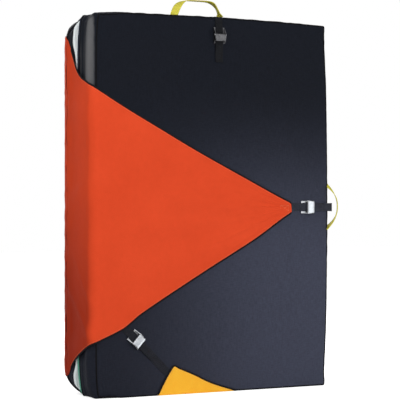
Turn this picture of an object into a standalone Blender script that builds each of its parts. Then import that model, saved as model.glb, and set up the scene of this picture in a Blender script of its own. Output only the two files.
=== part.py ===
"""A folding bouldering crash pad, folded shut and standing on its lower edge.

Sizes are in metres. +X is to the right seen from the front, +Y runs from front to back
and +Z is up. The halves meet at y = 0, the floor is z = 0, and the pad unfolds about a
vertical line just outside its right edge.
"""

import math

import bmesh
import bpy
from mathutils import Matrix, Vector

# Folded pad
PAD_WIDTH = 0.82
PAD_HEIGHT = 1.12
HALF_DEPTH = 0.118
SIDE_BULGE = 0.012
TOP_CROWN = 0.006
FACE_CROWN = 0.004
WALL_DRAW = 0.006
CORNER_DRAW = 0.008
PLAN_CORNER_RADIUS = 0.016
FRONT_EDGE_RADIUS = 0.012
BACK_EDGE_RADIUS = 0.055

# Covers, foam and landing panels
COVER_CLOTH = 0.002
SEAT_GAP = 0.0003
FOAM_GAP = 0.0004
FOLD_GAP = 0.0006
PANEL_DEPTH = 0.0135
PANEL_INSET = 0.003
PANEL_EDGE_RADIUS = 0.005
FIRM_FOAM_DEPTH = 0.025
HINGE_CLOTH = 0.0015

# Orange closing flap
FLAP_CLOTH = 0.0012
CLOTH_LIFT = 0.0006
FLAP_TO_BUCKLE = 0.05
FLAP_SEAM_WIDTH = 0.02
FLAP_FRONT_TOP_SHARES = ((0, 0.802), (0.52, 0.639), (0.891, 0.529), (1, 0.5036))
FLAP_FRONT_LOW_SHARES = (
    (0, 0.1455),
    (0.13, 0.1786),
    (0.217, 0.2152),
    (0.52, 0.3179),
    (0.788, 0.4054),
    (0.926, 0.4554),
    (1, 0.4786),
)
FLAP_SIDE_TOP_SHARES = (
    (0, 0.802),
    (0.14, 0.815),
    (0.3, 0.831),
    (0.45, 0.854),
    (0.58, 0.889),
    (0.67, 0.919),
    (0.77, 0.941),
    (1, 0.957),
)
FLAP_SIDE_LOW_SHARES = (
    (0, 0.1455),
    (0.39, 0.105),
    (0.58, 0.083),
    (0.7, 0.058),
    (0.77, 0.05),
    (1, 0.036),
)

# Yellow anchor flap at the foot of the front
ANCHOR_FLAP_LEFT = 0.203
ANCHOR_FLAP_WIDTH = 0.28
ANCHOR_FLAP_HEIGHT = 0.086
ANCHOR_FLAP_FOOT = 0.0125
ANCHOR_FLAP_TOP_SHARES = (
    (0, 0.15),
    (0.05, 0.34),
    (0.11, 0.66),
    (0.17, 0.93),
    (0.22, 1),
    (0.3, 0.89),
    (0.55, 0.52),
    (0.8, 0.25),
    (1, 0.15),
)

# Webbing
WEBBING_WIDTH = 0.025
WEBBING = 0.0013
STITCH_LENGTH = 0.028

# Cam buckles
BUCKLE_LENGTH = 0.048
BUCKLE_WIDTH = 0.038
BUCKLE_SHEET = 0.0016
BUCKLE_CHEEK_HEIGHT = 0.0115
BUCKLE_BAR = 0.004
BUCKLE_REAR_SLOT = 0.005
BUCKLE_FRONT_SLOT = 0.013
BUCKLE_SLOT_MARGIN = 0.0055
PIN_RADIUS = 0.0018
PIN_HEAD_RADIUS = 0.003
PIN_HEAD = 0.001
PIN_PLAY = 0.0002
PIN_PLACE = -0.001
LEVER_BARREL_RADIUS = 0.0036
CAM_REACH = 0.0046
LEVER_REACH = 0.0185
LEVER_SHEET = 0.0017
LEVER_LIP = 0.0016
LEVER_SIDE_PLAY = 0.0004
CAM_TEETH = 4

# Where the buckles sit on the front face: in from its edges, or at a share of its height
SIDE_BUCKLE_INSET = 0.08
SIDE_BUCKLE_HEIGHT_SHARE = 0.4933
TOP_BUCKLE_DROP = 0.0545
TOP_BUCKLE_OFFSET = 0.0075
LOWER_BUCKLE_IN = 0.131
LOWER_BUCKLE_HEIGHT_SHARE = 0.14955
LOWER_STRAP_ANGLE = math.radians(-43)
SIDE_TAIL_OVERHANG = 0.017
TAIL_FOLD = 0.008

# Handles
HANDLE_WEBBING = 0.002
HANDLE_STEPS = 24
HANDLE_SQUARENESS = 3.4
HANDLE_TWIST_SHARE = 0.25
TOP_HANDLE_RISE = 0.046
TOP_HANDLE_LEFT_REACH = 0.148
TOP_HANDLE_RIGHT_REACH = 0.024
TOP_HANDLE_FOOT_SHARE = 0.5
SIDE_HANDLE_RISE = 0.04
SIDE_HANDLE_UNDER_BUCKLE = 0.0645
SIDE_HANDLE_OVER_BUCKLE = 0.0685
SIDE_HANDLE_SPLAY = math.radians(32)

# Carrying straps on the back
SHOULDER_PAD_WIDTH = 0.062
SHOULDER_PAD = 0.011
SHOULDER_TOP = 0.87
SHOULDER_PAD_LENGTH = 0.4
SHOULDER_SPACING = 0.15
SHOULDER_SPREAD = 0.03
SHOULDER_BOW = 0.016
SHOULDER_FOOT = 0.3
ADJUSTER_WIDTH = 0.033
ADJUSTER_LENGTH = 0.03
ADJUSTER_BODY = 0.005
ADJUSTER_BAR = 0.0045
BELT_HEIGHT = 0.225
BELT_WING_WIDTH = 0.06
BELT_WING = 0.009
BELT_WING_LENGTH = 0.15
BELT_ROOT = 0.27
BELT_WEBBING_LENGTH = 0.06
BELT_SOCKET_LENGTH = 0.024
BELT_BUCKLE_WIDTH = 0.034
BELT_BUCKLE_BODY = 0.009
BELT_PRONG = 0.003
BELT_PRONG_LENGTH = 0.018

# Fineness of the meshes
FACE_CELLS_ACROSS = 7
FACE_CELLS_UP = 10
ARC_STEPS = 4
ROUND_SIDES = 20
CUT_OVERRUN = 0.004

LEFT = -PAD_WIDTH / 2
WALL_TO_WALL = PAD_WIDTH - SIDE_BULGE
FLOOR_TO_TOP = PAD_HEIGHT - TOP_CROWN
HINGE_X = PAD_WIDTH / 2 + HINGE_CLOTH + CLOTH_LIFT
SIDE_BUCKLE_PLACE = (PAD_WIDTH - SIDE_BUCKLE_INSET, PAD_HEIGHT * SIDE_BUCKLE_HEIGHT_SHARE)
TOP_BUCKLE_PLACE = (PAD_WIDTH / 2 + TOP_BUCKLE_OFFSET, PAD_HEIGHT - TOP_BUCKLE_DROP)
LOWER_BUCKLE_PLACE = (LOWER_BUCKLE_IN, PAD_HEIGHT * LOWER_BUCKLE_HEIGHT_SHARE)
FLAP_REACH = SIDE_BUCKLE_PLACE[0] - FLAP_TO_BUCKLE
RIM_DEPTH = PANEL_DEPTH + SEAT_GAP
FRAME_LIFT = 2 * SEAT_GAP + WEBBING
THREAD_LIFT = FRAME_LIFT + BUCKLE_SHEET + SEAT_GAP + WEBBING / 2
STRAP_LIFT = SEAT_GAP + WEBBING / 2
LAYER = WEBBING + SEAT_GAP
THREAD_RAMP = 4 * LAYER
ANCHOR_FLAP_LIFT = CLOTH_LIFT + WEBBING + 2 * SEAT_GAP
PIN_LIFT = THREAD_LIFT + WEBBING / 2 + SEAT_GAP + CAM_REACH
FRONT, BACK = -1, 1
X, Y, Z = Vector((1, 0, 0)), Vector((0, 1, 0)), Vector((0, 0, 1))

MATERIALS = {
    "cover_cloth": ((0.012, 0.014, 0.022), 0.85, 0),
    "landing_cloth": ((0.85, 0.9, 0.92), 0.8, 0),
    "soft_foam": ((0.75, 0.72, 0.6), 0.95, 0),
    "firm_foam": ((0.1, 0.1, 0.11), 0.9, 0),
    "flap_cloth": ((0.7, 0.07, 0.022), 0.75, 0),
    "anchor_cloth": ((0.95, 0.45, 0.04), 0.75, 0),
    "webbing": ((0.01, 0.01, 0.012), 0.8, 0),
    "handle_webbing": ((0.75, 0.7, 0.07), 0.75, 0),
    "buckle_metal": ((0.75, 0.77, 0.8), 0.3, 1),
    "pin_metal": ((0.5, 0.5, 0.52), 0.35, 1),
    "strap_padding": ((0.02, 0.02, 0.025), 0.85, 0),
    "buckle_plastic": ((0.012, 0.012, 0.013), 0.45, 0),
}


def clear_scene():
    for obj in list(bpy.data.objects):
        bpy.data.objects.remove(obj, do_unlink=True)


def material(name):
    found = bpy.data.materials.get(name)
    if found:
        return found
    colour, roughness, metallic = MATERIALS[name]
    made = bpy.data.materials.new(name)
    made.use_nodes = True
    shader = made.node_tree.nodes["Principled BSDF"]
    shader.inputs["Base Color"].default_value = (*colour, 1)
    shader.inputs["Roughness"].default_value = roughness
    shader.inputs["Metallic"].default_value = metallic
    return made


def add_object(name, bm, finish):
    """Make a named object from a bmesh whose faces are turned outwards."""
    bmesh.ops.recalc_face_normals(bm, faces=bm.faces)
    mesh = bpy.data.meshes.new(name)
    bm.to_mesh(mesh)
    bm.free()
    mesh.materials.append(material(finish))
    obj = bpy.data.objects.new(name, mesh)
    bpy.context.scene.collection.objects.link(obj)
    return obj


def cut(obj, cutter):
    """Keep a hidden helper as a live Boolean of the object."""
    cutter.hide_render = True
    cutter.display_type = "WIRE"
    modifier = obj.modifiers.new(cutter.name, "BOOLEAN")
    modifier.object = cutter
    modifier.operation = "DIFFERENCE"
    modifier.solver = "EXACT"


def place(objects, matrix):
    for obj in objects:
        obj.matrix_world = matrix @ obj.matrix_world


def interpolate(shares, at):
    """Read a height share from an outline of (place share, height share) points."""
    for (x0, y0), (x1, y1) in zip(shares, shares[1:]):
        if at <= x1:
            return y0 + (y1 - y0) * (at - x0) / (x1 - x0)
    return shares[-1][1]


def even_steps(start, end, count):
    return [start + (end - start) * step / count for step in range(count + 1)]


def arc_points(centre, radius, start, end, steps):
    """Points in a plane along an arc, its angles given in radians."""
    return [
        (centre[0] + radius * math.cos(angle), centre[1] + radius * math.sin(angle))
        for angle in even_steps(start, end, steps)
    ]


# Form of the two padded halves


def pinch_at(depth):
    """Share of the full draw of the walls at a depth, from the fold plane to the outer face."""
    return math.sin(math.pi * min(depth / HALF_DEPTH, 1))


def swell(x, depth, z):
    """Move a point of the plain block to where the stuffed form has it."""
    share_x = (x - LEFT) / WALL_TO_WALL
    share_z = z / FLOOR_TO_TOP
    share_d = depth / HALF_DEPTH
    side = 2 * share_x - 1
    level = 2 * share_z - 1
    pinch = pinch_at(depth)
    x += SIDE_BULGE * share_x * (1 - level**2) - WALL_DRAW * pinch * side**3
    z += TOP_CROWN * share_z * (1 - side**2)
    z -= pinch * share_z**3 * (WALL_DRAW + CORNER_DRAW * side**6)
    depth += FACE_CROWN * share_d * (1 - side**2) * (1 - level**2)
    return x, depth, z


def face_crown(x, z):
    """How far the outer face stands proud at x and z."""
    level = 2 * z / FLOOR_TO_TOP - 1
    for _ in range(2):
        side = 2 * (x - LEFT) / (WALL_TO_WALL + SIDE_BULGE * (1 - level**2)) - 1
        level = 2 * z / (FLOOR_TO_TOP + TOP_CROWN * (1 - side**2)) - 1
    return FACE_CROWN * (1 - side**2) * (1 - level**2)


def face_point(half, x, z, lift=0.0):
    """The point on a half's outer face that is seen at x and z, raised off it by lift."""
    return Vector((x, half * (HALF_DEPTH + face_crown(x, z) + lift), z))


def roll_inset(half, depth):
    """How far the rolled outer edge has come in from the walls at a depth."""
    radius = edge_radius(half)
    past = depth - (HALF_DEPTH - radius)
    return radius - math.sqrt(max(radius**2 - past**2, 0)) if past > 0 else 0


def left_point(half, depth, z):
    """The point of the left wall, or of the edge rolled from it, at a depth and height."""
    x, depth, z = swell(LEFT + roll_inset(half, depth), depth, z)
    return Vector((x, half * depth, z))


def right_point(half, depth, z):
    x, depth, z = swell(LEFT + WALL_TO_WALL - roll_inset(half, depth), depth, z)
    return Vector((x, half * depth, z))


def top_point(half, x, depth):
    """The point of the top wall, or of the edge rolled from it, above x at a depth."""
    _, depth, z = swell(x, depth, FLOOR_TO_TOP - roll_inset(half, depth))
    return Vector((x, half * depth, z))


def face_frame(half, x, z, angle):
    """A frame on the outer face: its x axis runs at an angle in the face, and its z axis points out."""
    step = WEBBING_WIDTH
    out = (face_point(half, x + step, z) - face_point(half, x - step, z)).cross(
        face_point(half, x, z + step) - face_point(half, x, z - step)
    )
    out = out.normalized() * (1 if out.y * half > 0 else -1)
    along = Vector((math.cos(angle), 0, math.sin(angle)))
    along = (along - out * along.dot(out)).normalized()
    across = out.cross(along)
    frame = Matrix((along, across, out)).transposed().to_4x4()
    frame.translation = face_point(half, x, z)
    return frame


def block_lattice(inset):
    """Places of the grid lines of one layer, with a short cell at each corner."""
    low_x, high_x = LEFT + inset, LEFT + WALL_TO_WALL - inset
    low_z, high_z = inset, FLOOR_TO_TOP - inset
    radius = PLAN_CORNER_RADIUS
    xs = [low_x, *even_steps(low_x + radius, high_x - radius, FACE_CELLS_ACROSS), high_x]
    zs = [low_z, *even_steps(low_z + radius, high_z - radius, FACE_CELLS_UP), high_z]
    return xs, zs


def padded_block(name, half, layers, finish):
    """A closed stuffed block from layers of (depth, inset), from the fold plane outwards."""
    bm = bmesh.new()
    across, up = FACE_CELLS_ACROSS + 2, FACE_CELLS_UP + 2
    corner = PLAN_CORNER_RADIUS * (1 - math.sqrt(0.5))
    grid = {}
    for layer, (depth, inset) in enumerate(layers):
        xs, zs = block_lattice(inset)
        whole = layer in (0, len(layers) - 1)
        for i, x in enumerate(xs):
            for j, z in enumerate(zs):
                if not whole and 0 < i < across and 0 < j < up:
                    continue
                cut_in = corner if i in (0, across) and j in (0, up) else 0
                side_x = x + (cut_in if i == 0 else -cut_in)
                side_z = z + (cut_in if j == 0 else -cut_in)
                px, pd, pz = swell(side_x, depth, side_z)
                grid[layer, i, j] = bm.verts.new((px, half * pd, pz))
    for layer in (0, len(layers) - 1):
        for i in range(across):
            for j in range(up):
                square = ((i, j), (i + 1, j), (i + 1, j + 1), (i, j + 1))
                bm.faces.new([grid[layer, a, b] for a, b in square])
    rim = [(i, 0) for i in range(across)] + [(across, j) for j in range(up)]
    rim += [(i, up) for i in range(across, 0, -1)] + [(0, j) for j in range(up, 0, -1)]
    for layer in range(len(layers) - 1):
        for (a, b), (c, d) in zip(rim, rim[1:] + rim[:1]):
            bm.faces.new(
                (grid[layer, a, b], grid[layer, c, d], grid[layer + 1, c, d], grid[layer + 1, a, b])
            )
    return add_object(name, bm, finish)


def outer_arc(edge_radius, inset):
    """Layers that roll the outer edge of a block that lies inside the cover by inset."""
    radius = edge_radius - inset
    turns = even_steps(0, math.pi / 2, ARC_STEPS)
    return [
        (HALF_DEPTH - inset - radius * (1 - math.sin(turn)), inset + radius * (1 - math.cos(turn)))
        for turn in turns
    ]


def edge_radius(half):
    return FRONT_EDGE_RADIUS if half == FRONT else BACK_EDGE_RADIUS


def middle_depths(half):
    """Ring depths between the firm foam and the rolled outer edge."""
    start = RIM_DEPTH + FIRM_FOAM_DEPTH
    end = HALF_DEPTH - edge_radius(half)
    count = 3 if half == FRONT else 1
    return even_steps(start, end, count)[:-1]


def make_cover(name, half):
    """A five-sided cloth tray, open towards the landing panel that closes it."""
    layers = [(RIM_DEPTH, 0)] + [(depth, 0) for depth in middle_depths(half)]
    layers += outer_arc(edge_radius(half), 0)
    obj = padded_block(name, half, layers, "cover_cloth")
    bm = bmesh.new()
    bm.from_mesh(obj.data)
    rim_reach = RIM_DEPTH + FACE_CROWN * RIM_DEPTH / HALF_DEPTH + SEAT_GAP
    inner = [face for face in bm.faces if all(abs(v.co.y) < rim_reach for v in face.verts)]
    bmesh.ops.delete(bm, geom=inner, context="FACES")
    bm.to_mesh(obj.data)
    bm.free()
    wall = obj.modifiers.new("cloth", "SOLIDIFY")
    wall.thickness = COVER_CLOTH
    wall.offset = -1
    wall.use_even_offset = True
    return obj


def make_half(half, word):
    """Cover, two foam layers and landing panel of one half."""
    inset = COVER_CLOTH + FOAM_GAP
    firm_end = RIM_DEPTH + FIRM_FOAM_DEPTH
    make_cover(word + "_cover", half)
    firm = [(RIM_DEPTH, inset), (firm_end - FOAM_GAP / 2, inset)]
    padded_block(word + "_firm_foam", half, firm, "firm_foam")
    soft = [(firm_end + FOAM_GAP / 2, inset)] + [(depth, inset) for depth in middle_depths(half)[1:]]
    soft += outer_arc(edge_radius(half), inset)
    padded_block(word + "_soft_foam", half, soft, "soft_foam")
    radius = PANEL_EDGE_RADIUS
    turns = even_steps(0, math.pi / 2, ARC_STEPS)
    rolled = [
        (FOLD_GAP / 2 + radius * (1 - math.cos(turn)), PANEL_INSET + radius * (1 - math.sin(turn)))
        for turn in turns
    ]
    panel = rolled + [(PANEL_DEPTH, PANEL_INSET)]
    padded_block(word + "_landing_panel", half, panel, "landing_cloth")


# Bands and sheets


def band(name, points, across, width, thickness, finish):
    """Sweep a flat band along points. across is its width direction, or one for each point.

    Both wide faces are split along the same diagonal, so a twisted band keeps its thickness.
    """
    sides = across if isinstance(across, list) else [across] * len(points)
    bm = bmesh.new()
    rings = []
    for index, point in enumerate(points):
        side = sides[index].normalized()
        before = points[max(index - 1, 0)]
        after = points[min(index + 1, len(points) - 1)]
        ways = [way.normalized() for way in (point - before, after - point) if way.length > 0]
        normals = [side.cross(way).normalized() for way in ways]
        mean = sum(normals, Vector()).normalized()
        lift = mean * (thickness / 2 / max(mean.dot(normals[0]), 0.5))
        reach = side * (width / 2)
        corners = (point - reach - lift, point + reach - lift, point + reach + lift, point - reach + lift)
        rings.append([bm.verts.new(corner) for corner in corners])
    for first, second in zip(rings, rings[1:]):
        for a in range(4):
            b = (a + 1) % 4
            quad = (first[a], first[b], second[b], second[a])
            if a > 1:
                quad = quad[1:] + quad[:1]
            bm.faces.new(quad[:3])
            bm.faces.new((quad[0], quad[2], quad[3]))
    bm.faces.new(rings[0][::-1])
    bm.faces.new(rings[-1])
    return add_object(name, bm, finish)


def sheet(name, rows, outs, thickness, finish):
    """A closed cloth from rows of points, thickened along each row's outward directions."""
    bm = bmesh.new()
    under = [[bm.verts.new(point) for point in row] for row in rows]
    over = [
        [bm.verts.new(point + out * thickness) for point, out in zip(row, ways)]
        for row, ways in zip(rows, outs)
    ]
    for layer in (under, over):
        for row, upper in zip(layer, layer[1:]):
            for i in range(len(row) - 1):
                bm.faces.new((row[i], row[i + 1], upper[i + 1], upper[i]))
    last = len(rows[0]) - 1
    edge = [(0, i) for i in range(last)] + [(j, last) for j in range(len(rows) - 1)]
    edge += [(len(rows) - 1, i) for i in range(last, 0, -1)] + [(j, 0) for j in range(len(rows) - 1, 0, -1)]
    for (a, b), (c, d) in zip(edge, edge[1:] + edge[:1]):
        bm.faces.new((under[a][b], under[c][d], over[c][d], over[a][b]))
    return add_object(name, bm, finish)


def extruded(name, outline, low, high, finish):
    """Extrude an outline of (x, z) points along y."""
    bm = bmesh.new()
    near = [bm.verts.new((x, low, z)) for x, z in outline]
    far = [bm.verts.new((x, high, z)) for x, z in outline]
    bm.faces.new(near)
    bm.faces.new(far[::-1])
    for index in range(len(outline)):
        after = (index + 1) % len(outline)
        bm.faces.new((near[index], far[index], far[after], near[after]))
    return add_object(name, bm, finish)


def box(name, low, high, finish):
    outline = ((low[0], low[2]), (high[0], low[2]), (high[0], high[2]), (low[0], high[2]))
    return extruded(name, outline, low[1], high[1], finish)


def turned(name, profile, centre, finish):
    """Turn a profile of (radius, y) points round a line along y through centre (x, z)."""
    bm = bmesh.new()
    rings = []
    for radius, y in profile:
        around = arc_points(centre, radius, 0, 2 * math.pi, ROUND_SIDES)[:-1]
        rings.append([bm.verts.new((x, y, z)) for x, z in around])
    for first, second in zip(rings, rings[1:]):
        for index in range(ROUND_SIDES):
            after = (index + 1) % ROUND_SIDES
            bm.faces.new((first[index], first[after], second[after], second[index]))
    bm.faces.new(rings[0])
    bm.faces.new(rings[-1][::-1])
    obj = add_object(name, bm, finish)
    obj.data.shade_smooth()
    return obj


# Orange flap


def flap_front_row(share, rows):
    """Points of one row of the front panel, from the tip to the rolled front edge."""
    columns = []
    lift = CLOTH_LIFT
    radius = FRONT_EDGE_RADIUS + lift
    start = LEFT + FRONT_EDGE_RADIUS
    for place_share in even_steps(1, FRONT_EDGE_RADIUS / FLAP_REACH, rows):
        low = interpolate(FLAP_FRONT_LOW_SHARES, place_share) * PAD_HEIGHT
        high = interpolate(FLAP_FRONT_TOP_SHARES, place_share) * PAD_HEIGHT
        z = low + (high - low) * share
        columns.append((face_point(FRONT, LEFT + place_share * FLAP_REACH, z, lift), Vector((0, -1, 0))))
    low = interpolate(FLAP_FRONT_LOW_SHARES, 0) * PAD_HEIGHT
    high = interpolate(FLAP_FRONT_TOP_SHARES, 0) * PAD_HEIGHT
    z = low + (high - low) * share
    centre_y = -HALF_DEPTH + FRONT_EDGE_RADIUS
    for turn in even_steps(0, math.pi / 2, ARC_STEPS)[1:]:
        out = Vector((-math.sin(turn), -math.cos(turn), 0))
        draw = WALL_DRAW * pinch_at(FRONT_EDGE_RADIUS * math.cos(turn) - centre_y)
        columns.append((Vector((start + draw, centre_y, z)) + out * radius, out))
    return columns


def side_height(depth_share, share):
    low = interpolate(FLAP_SIDE_LOW_SHARES, depth_share) * PAD_HEIGHT
    high = interpolate(FLAP_SIDE_TOP_SHARES, depth_share) * PAD_HEIGHT
    return low + (high - low) * share


def flap_side_row(share, rows):
    """Points of one row of the side panel: taut from the front edge over both rims, then in to the strip."""
    columns = []
    start = -HALF_DEPTH + FRONT_EDGE_RADIUS
    end = HALF_DEPTH - BACK_EDGE_RADIUS
    taut = [(y, LEFT + WALL_DRAW * pinch_at(abs(y)) - CLOTH_LIFT) for y in (start, RIM_DEPTH, end)]
    before_rim = even_steps(start + SEAT_GAP, RIM_DEPTH, rows)
    past_rim = even_steps(RIM_DEPTH, end - SEAT_GAP, rows // 2)
    for y in before_rim + past_rim[1:]:
        z = side_height((y + HALF_DEPTH) / (2 * HALF_DEPTH), share)
        columns.append((Vector((interpolate(taut, y), y, z)), Vector((-1, 0, 0))))
    return columns


def flap_back_row(share):
    """Points of one row of the sewn strip that rolls round the back edge onto the back face."""
    columns = []
    for turn in even_steps(0, math.pi / 2, ARC_STEPS):
        out = Vector((-math.cos(turn), math.sin(turn), 0))
        depth = HALF_DEPTH - BACK_EDGE_RADIUS * (1 - math.sin(turn))
        z = side_height((depth + HALF_DEPTH) / (2 * HALF_DEPTH), share)
        columns.append((left_point(BACK, depth, z) + out * CLOTH_LIFT, out))
    x = LEFT + BACK_EDGE_RADIUS + FLAP_SEAM_WIDTH
    columns.append((face_point(BACK, x, side_height(1, share), CLOTH_LIFT), Vector((0, 1, 0))))
    return columns


def flap_sheet(name, row_points, count):
    rows = [row_points(share) for share in even_steps(0, 1, count)]
    points = [[point for point, _ in row] for row in rows]
    outs = [[out for _, out in row] for row in rows]
    return sheet(name, points, outs, FLAP_CLOTH, "flap_cloth")


def make_flap():
    flap_sheet("flap_front_panel", lambda share: flap_front_row(share, 12), 6)
    flap_sheet("flap_side_panel", lambda share: flap_side_row(share, 6), 6)
    flap_sheet("flap_sewn_strip", flap_back_row, 6)


def make_anchor_flap():
    """The yellow flap that anchors the lower strap, hinged on the bottom seam of the front."""
    columns = [place_share for place_share, _ in ANCHOR_FLAP_TOP_SHARES]
    foot = ANCHOR_FLAP_FOOT / ANCHOR_FLAP_HEIGHT
    rows = []
    for share in even_steps(0, 1, 3):
        row = []
        for column in columns:
            high = interpolate(ANCHOR_FLAP_TOP_SHARES, column) + foot
            x = LEFT + ANCHOR_FLAP_LEFT + column * ANCHOR_FLAP_WIDTH
            z = ANCHOR_FLAP_HEIGHT * (foot + (high - 2 * foot) * share)
            row.append(face_point(FRONT, x, z, ANCHOR_FLAP_LIFT))
        rows.append(row)
    outs = [[Vector((0, -1, 0))] * len(columns)] * len(rows)
    sheet("anchor_flap", rows, outs, FLAP_CLOTH, "anchor_cloth")


# Cam buckles


def buckle_frame(name):
    """A folded sheet channel with a strap slot behind, a webbing slot in front and pin holes."""
    half_length, half_width = BUCKLE_LENGTH / 2, BUCKLE_WIDTH / 2
    low = FRAME_LIFT
    high = low + BUCKLE_SHEET
    top = low + BUCKLE_CHEEK_HEIGHT
    reach = PIN_HEAD_RADIUS + BUCKLE_SHEET
    slope = (
        (-half_length, low),
        (half_length, low),
        (half_length, high + BUCKLE_SHEET),
        (PIN_PLACE + 2 * reach, top),
        (PIN_PLACE - reach, top),
        (-half_length, high),
    )
    frame = extruded(name, slope, -half_width, half_width, "buckle_metal")
    inner = half_width - BUCKLE_SHEET
    trough = box(
        name + "_trough",
        (-half_length - CUT_OVERRUN, -inner, high),
        (half_length + CUT_OVERRUN, inner, top + CUT_OVERRUN),
        "buckle_metal",
    )
    slot_half = half_width - BUCKLE_SLOT_MARGIN
    rear_end = half_length - BUCKLE_BAR
    front_start = BUCKLE_BAR - half_length
    spans = ((rear_end - BUCKLE_REAR_SLOT, rear_end), (front_start, front_start + BUCKLE_FRONT_SLOT))
    cut(frame, trough)
    for index, (start, end) in enumerate(spans):
        window = box(
            f"{name}_slot_{index}",
            (start, -slot_half, low - CUT_OVERRUN),
            (end, slot_half, high + CUT_OVERRUN),
            "buckle_metal",
        )
        cut(frame, window)
    reach_out = half_width + CUT_OVERRUN
    hole = turned(
        name + "_pin_hole",
        ((PIN_RADIUS + PIN_PLAY, -reach_out), (PIN_RADIUS + PIN_PLAY, reach_out)),
        (PIN_PLACE, PIN_LIFT),
        "pin_metal",
    )
    cut(frame, hole)
    return [frame]


def buckle_lever(name):
    """A cam lever: a barrel on the pin, toothed cam under it and a thumb plate with a turned-up lip."""
    high = LEVER_BARREL_RADIUS
    low = high - LEVER_SHEET
    shoulder = math.sqrt(LEVER_BARREL_RADIUS**2 - low**2)
    outline = [(shoulder, low), (LEVER_REACH - LEVER_LIP, low)]
    outline += [(LEVER_REACH, low + LEVER_LIP), (LEVER_REACH, high + LEVER_LIP)]
    outline += [(LEVER_REACH - LEVER_SHEET, high + LEVER_LIP / 2), (LEVER_REACH - 2 * LEVER_SHEET, high)]
    outline += arc_points((0, 0), LEVER_BARREL_RADIUS, math.pi / 2, math.pi * 1.17, 5)
    start, end = math.pi * 1.25, math.pi * 1.75
    for tooth in range(CAM_TEETH):
        angle = start + (end - start) * tooth / CAM_TEETH
        tip = angle + (end - start) / CAM_TEETH / 2
        outline.append((LEVER_BARREL_RADIUS * math.cos(angle), LEVER_BARREL_RADIUS * math.sin(angle)))
        outline.append((CAM_REACH * math.cos(tip), CAM_REACH * math.sin(tip)))
    outline += arc_points((0, 0), LEVER_BARREL_RADIUS, end, math.pi * 1.95, 2)
    outline = [(PIN_PLACE + x, PIN_LIFT + z) for x, z in outline]
    half_width = BUCKLE_WIDTH / 2 - BUCKLE_SHEET - LEVER_SIDE_PLAY
    lever = extruded(name, outline, -half_width, half_width, "buckle_metal")
    reach_out = half_width + CUT_OVERRUN
    bore = turned(
        name + "_bore",
        ((PIN_RADIUS + PIN_PLAY, -reach_out), (PIN_RADIUS + PIN_PLAY, reach_out)),
        (PIN_PLACE, PIN_LIFT),
        "pin_metal",
    )
    cut(lever, bore)
    return [lever]


def buckle_pin(name):
    """A headed pin through both cheeks of the frame."""
    shank = BUCKLE_WIDTH / 2 + PIN_PLAY
    tip = shank + PIN_HEAD
    profile = (
        (PIN_HEAD_RADIUS - PIN_PLAY, -tip),
        (PIN_HEAD_RADIUS, -tip + PIN_HEAD / 2),
        (PIN_HEAD_RADIUS, -shank),
        (PIN_RADIUS, -shank),
        (PIN_RADIUS, shank),
        (PIN_HEAD_RADIUS, shank),
        (PIN_HEAD_RADIUS, tip - PIN_HEAD / 2),
        (PIN_HEAD_RADIUS - PIN_PLAY, tip),
    )
    return [turned(name, profile, (PIN_PLACE, PIN_LIFT), "pin_metal")]


def cutters_of(objects):
    return [modifier.object for obj in objects for modifier in obj.modifiers if modifier.type == "BOOLEAN"]


def make_buckle(word, spot, angle):
    """Frame, lever and pin of one buckle, laid on the front face. Returns the frame's place."""
    pieces = buckle_frame(word + "_buckle_frame")
    pieces += buckle_lever(word + "_buckle_lever")
    pieces += buckle_pin(word + "_buckle_pin")
    matrix = face_frame(FRONT, LEFT + spot[0], spot[1], angle)
    place(pieces + cutters_of(pieces), matrix)
    return matrix


def bar_loop(reach):
    """Strap centre line round the rear bar, from the anchor side and back: (along, lift) points."""
    bar_end = BUCKLE_LENGTH / 2
    rise = bar_end - BUCKLE_BAR - SEAT_GAP - WEBBING / 2
    over = FRAME_LIFT + BUCKLE_SHEET + SEAT_GAP + WEBBING / 2
    return [
        (reach, STRAP_LIFT),
        (bar_end + STITCH_LENGTH, STRAP_LIFT),
        (bar_end, STRAP_LIFT),
        (rise, STRAP_LIFT),
        (rise, over),
        (bar_end, over),
        (bar_end + THREAD_RAMP, STRAP_LIFT + LAYER),
        (bar_end + STITCH_LENGTH, STRAP_LIFT + LAYER),
    ]


def thread_line(reach_in, tail):
    """Webbing centre line through a buckle, from the flap side to its loose tail."""
    bar_end = BUCKLE_LENGTH / 2
    over = FRAME_LIFT + BUCKLE_SHEET + SEAT_GAP + WEBBING / 2
    return [
        (-reach_in, CLOTH_LIFT + FLAP_CLOTH + STRAP_LIFT),
        (-bar_end - THREAD_RAMP, CLOTH_LIFT + FLAP_CLOTH + STRAP_LIFT),
        (-bar_end - LAYER, THREAD_LIFT),
        (PIN_PLACE + CAM_REACH, THREAD_LIFT),
        (bar_end - BUCKLE_BAR - BUCKLE_REAR_SLOT, over + LAYER),
        (bar_end, over + LAYER),
        (bar_end + THREAD_RAMP, STRAP_LIFT + 2 * LAYER),
        (bar_end + STITCH_LENGTH, STRAP_LIFT + 2 * LAYER),
        *[(bar_end + STITCH_LENGTH + THREAD_RAMP, STRAP_LIFT + LAYER), (tail, STRAP_LIFT + LAYER)],
    ]


def on_frame(matrix, line):
    return [matrix @ Vector((along, 0, lift)) for along, lift in line]


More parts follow.
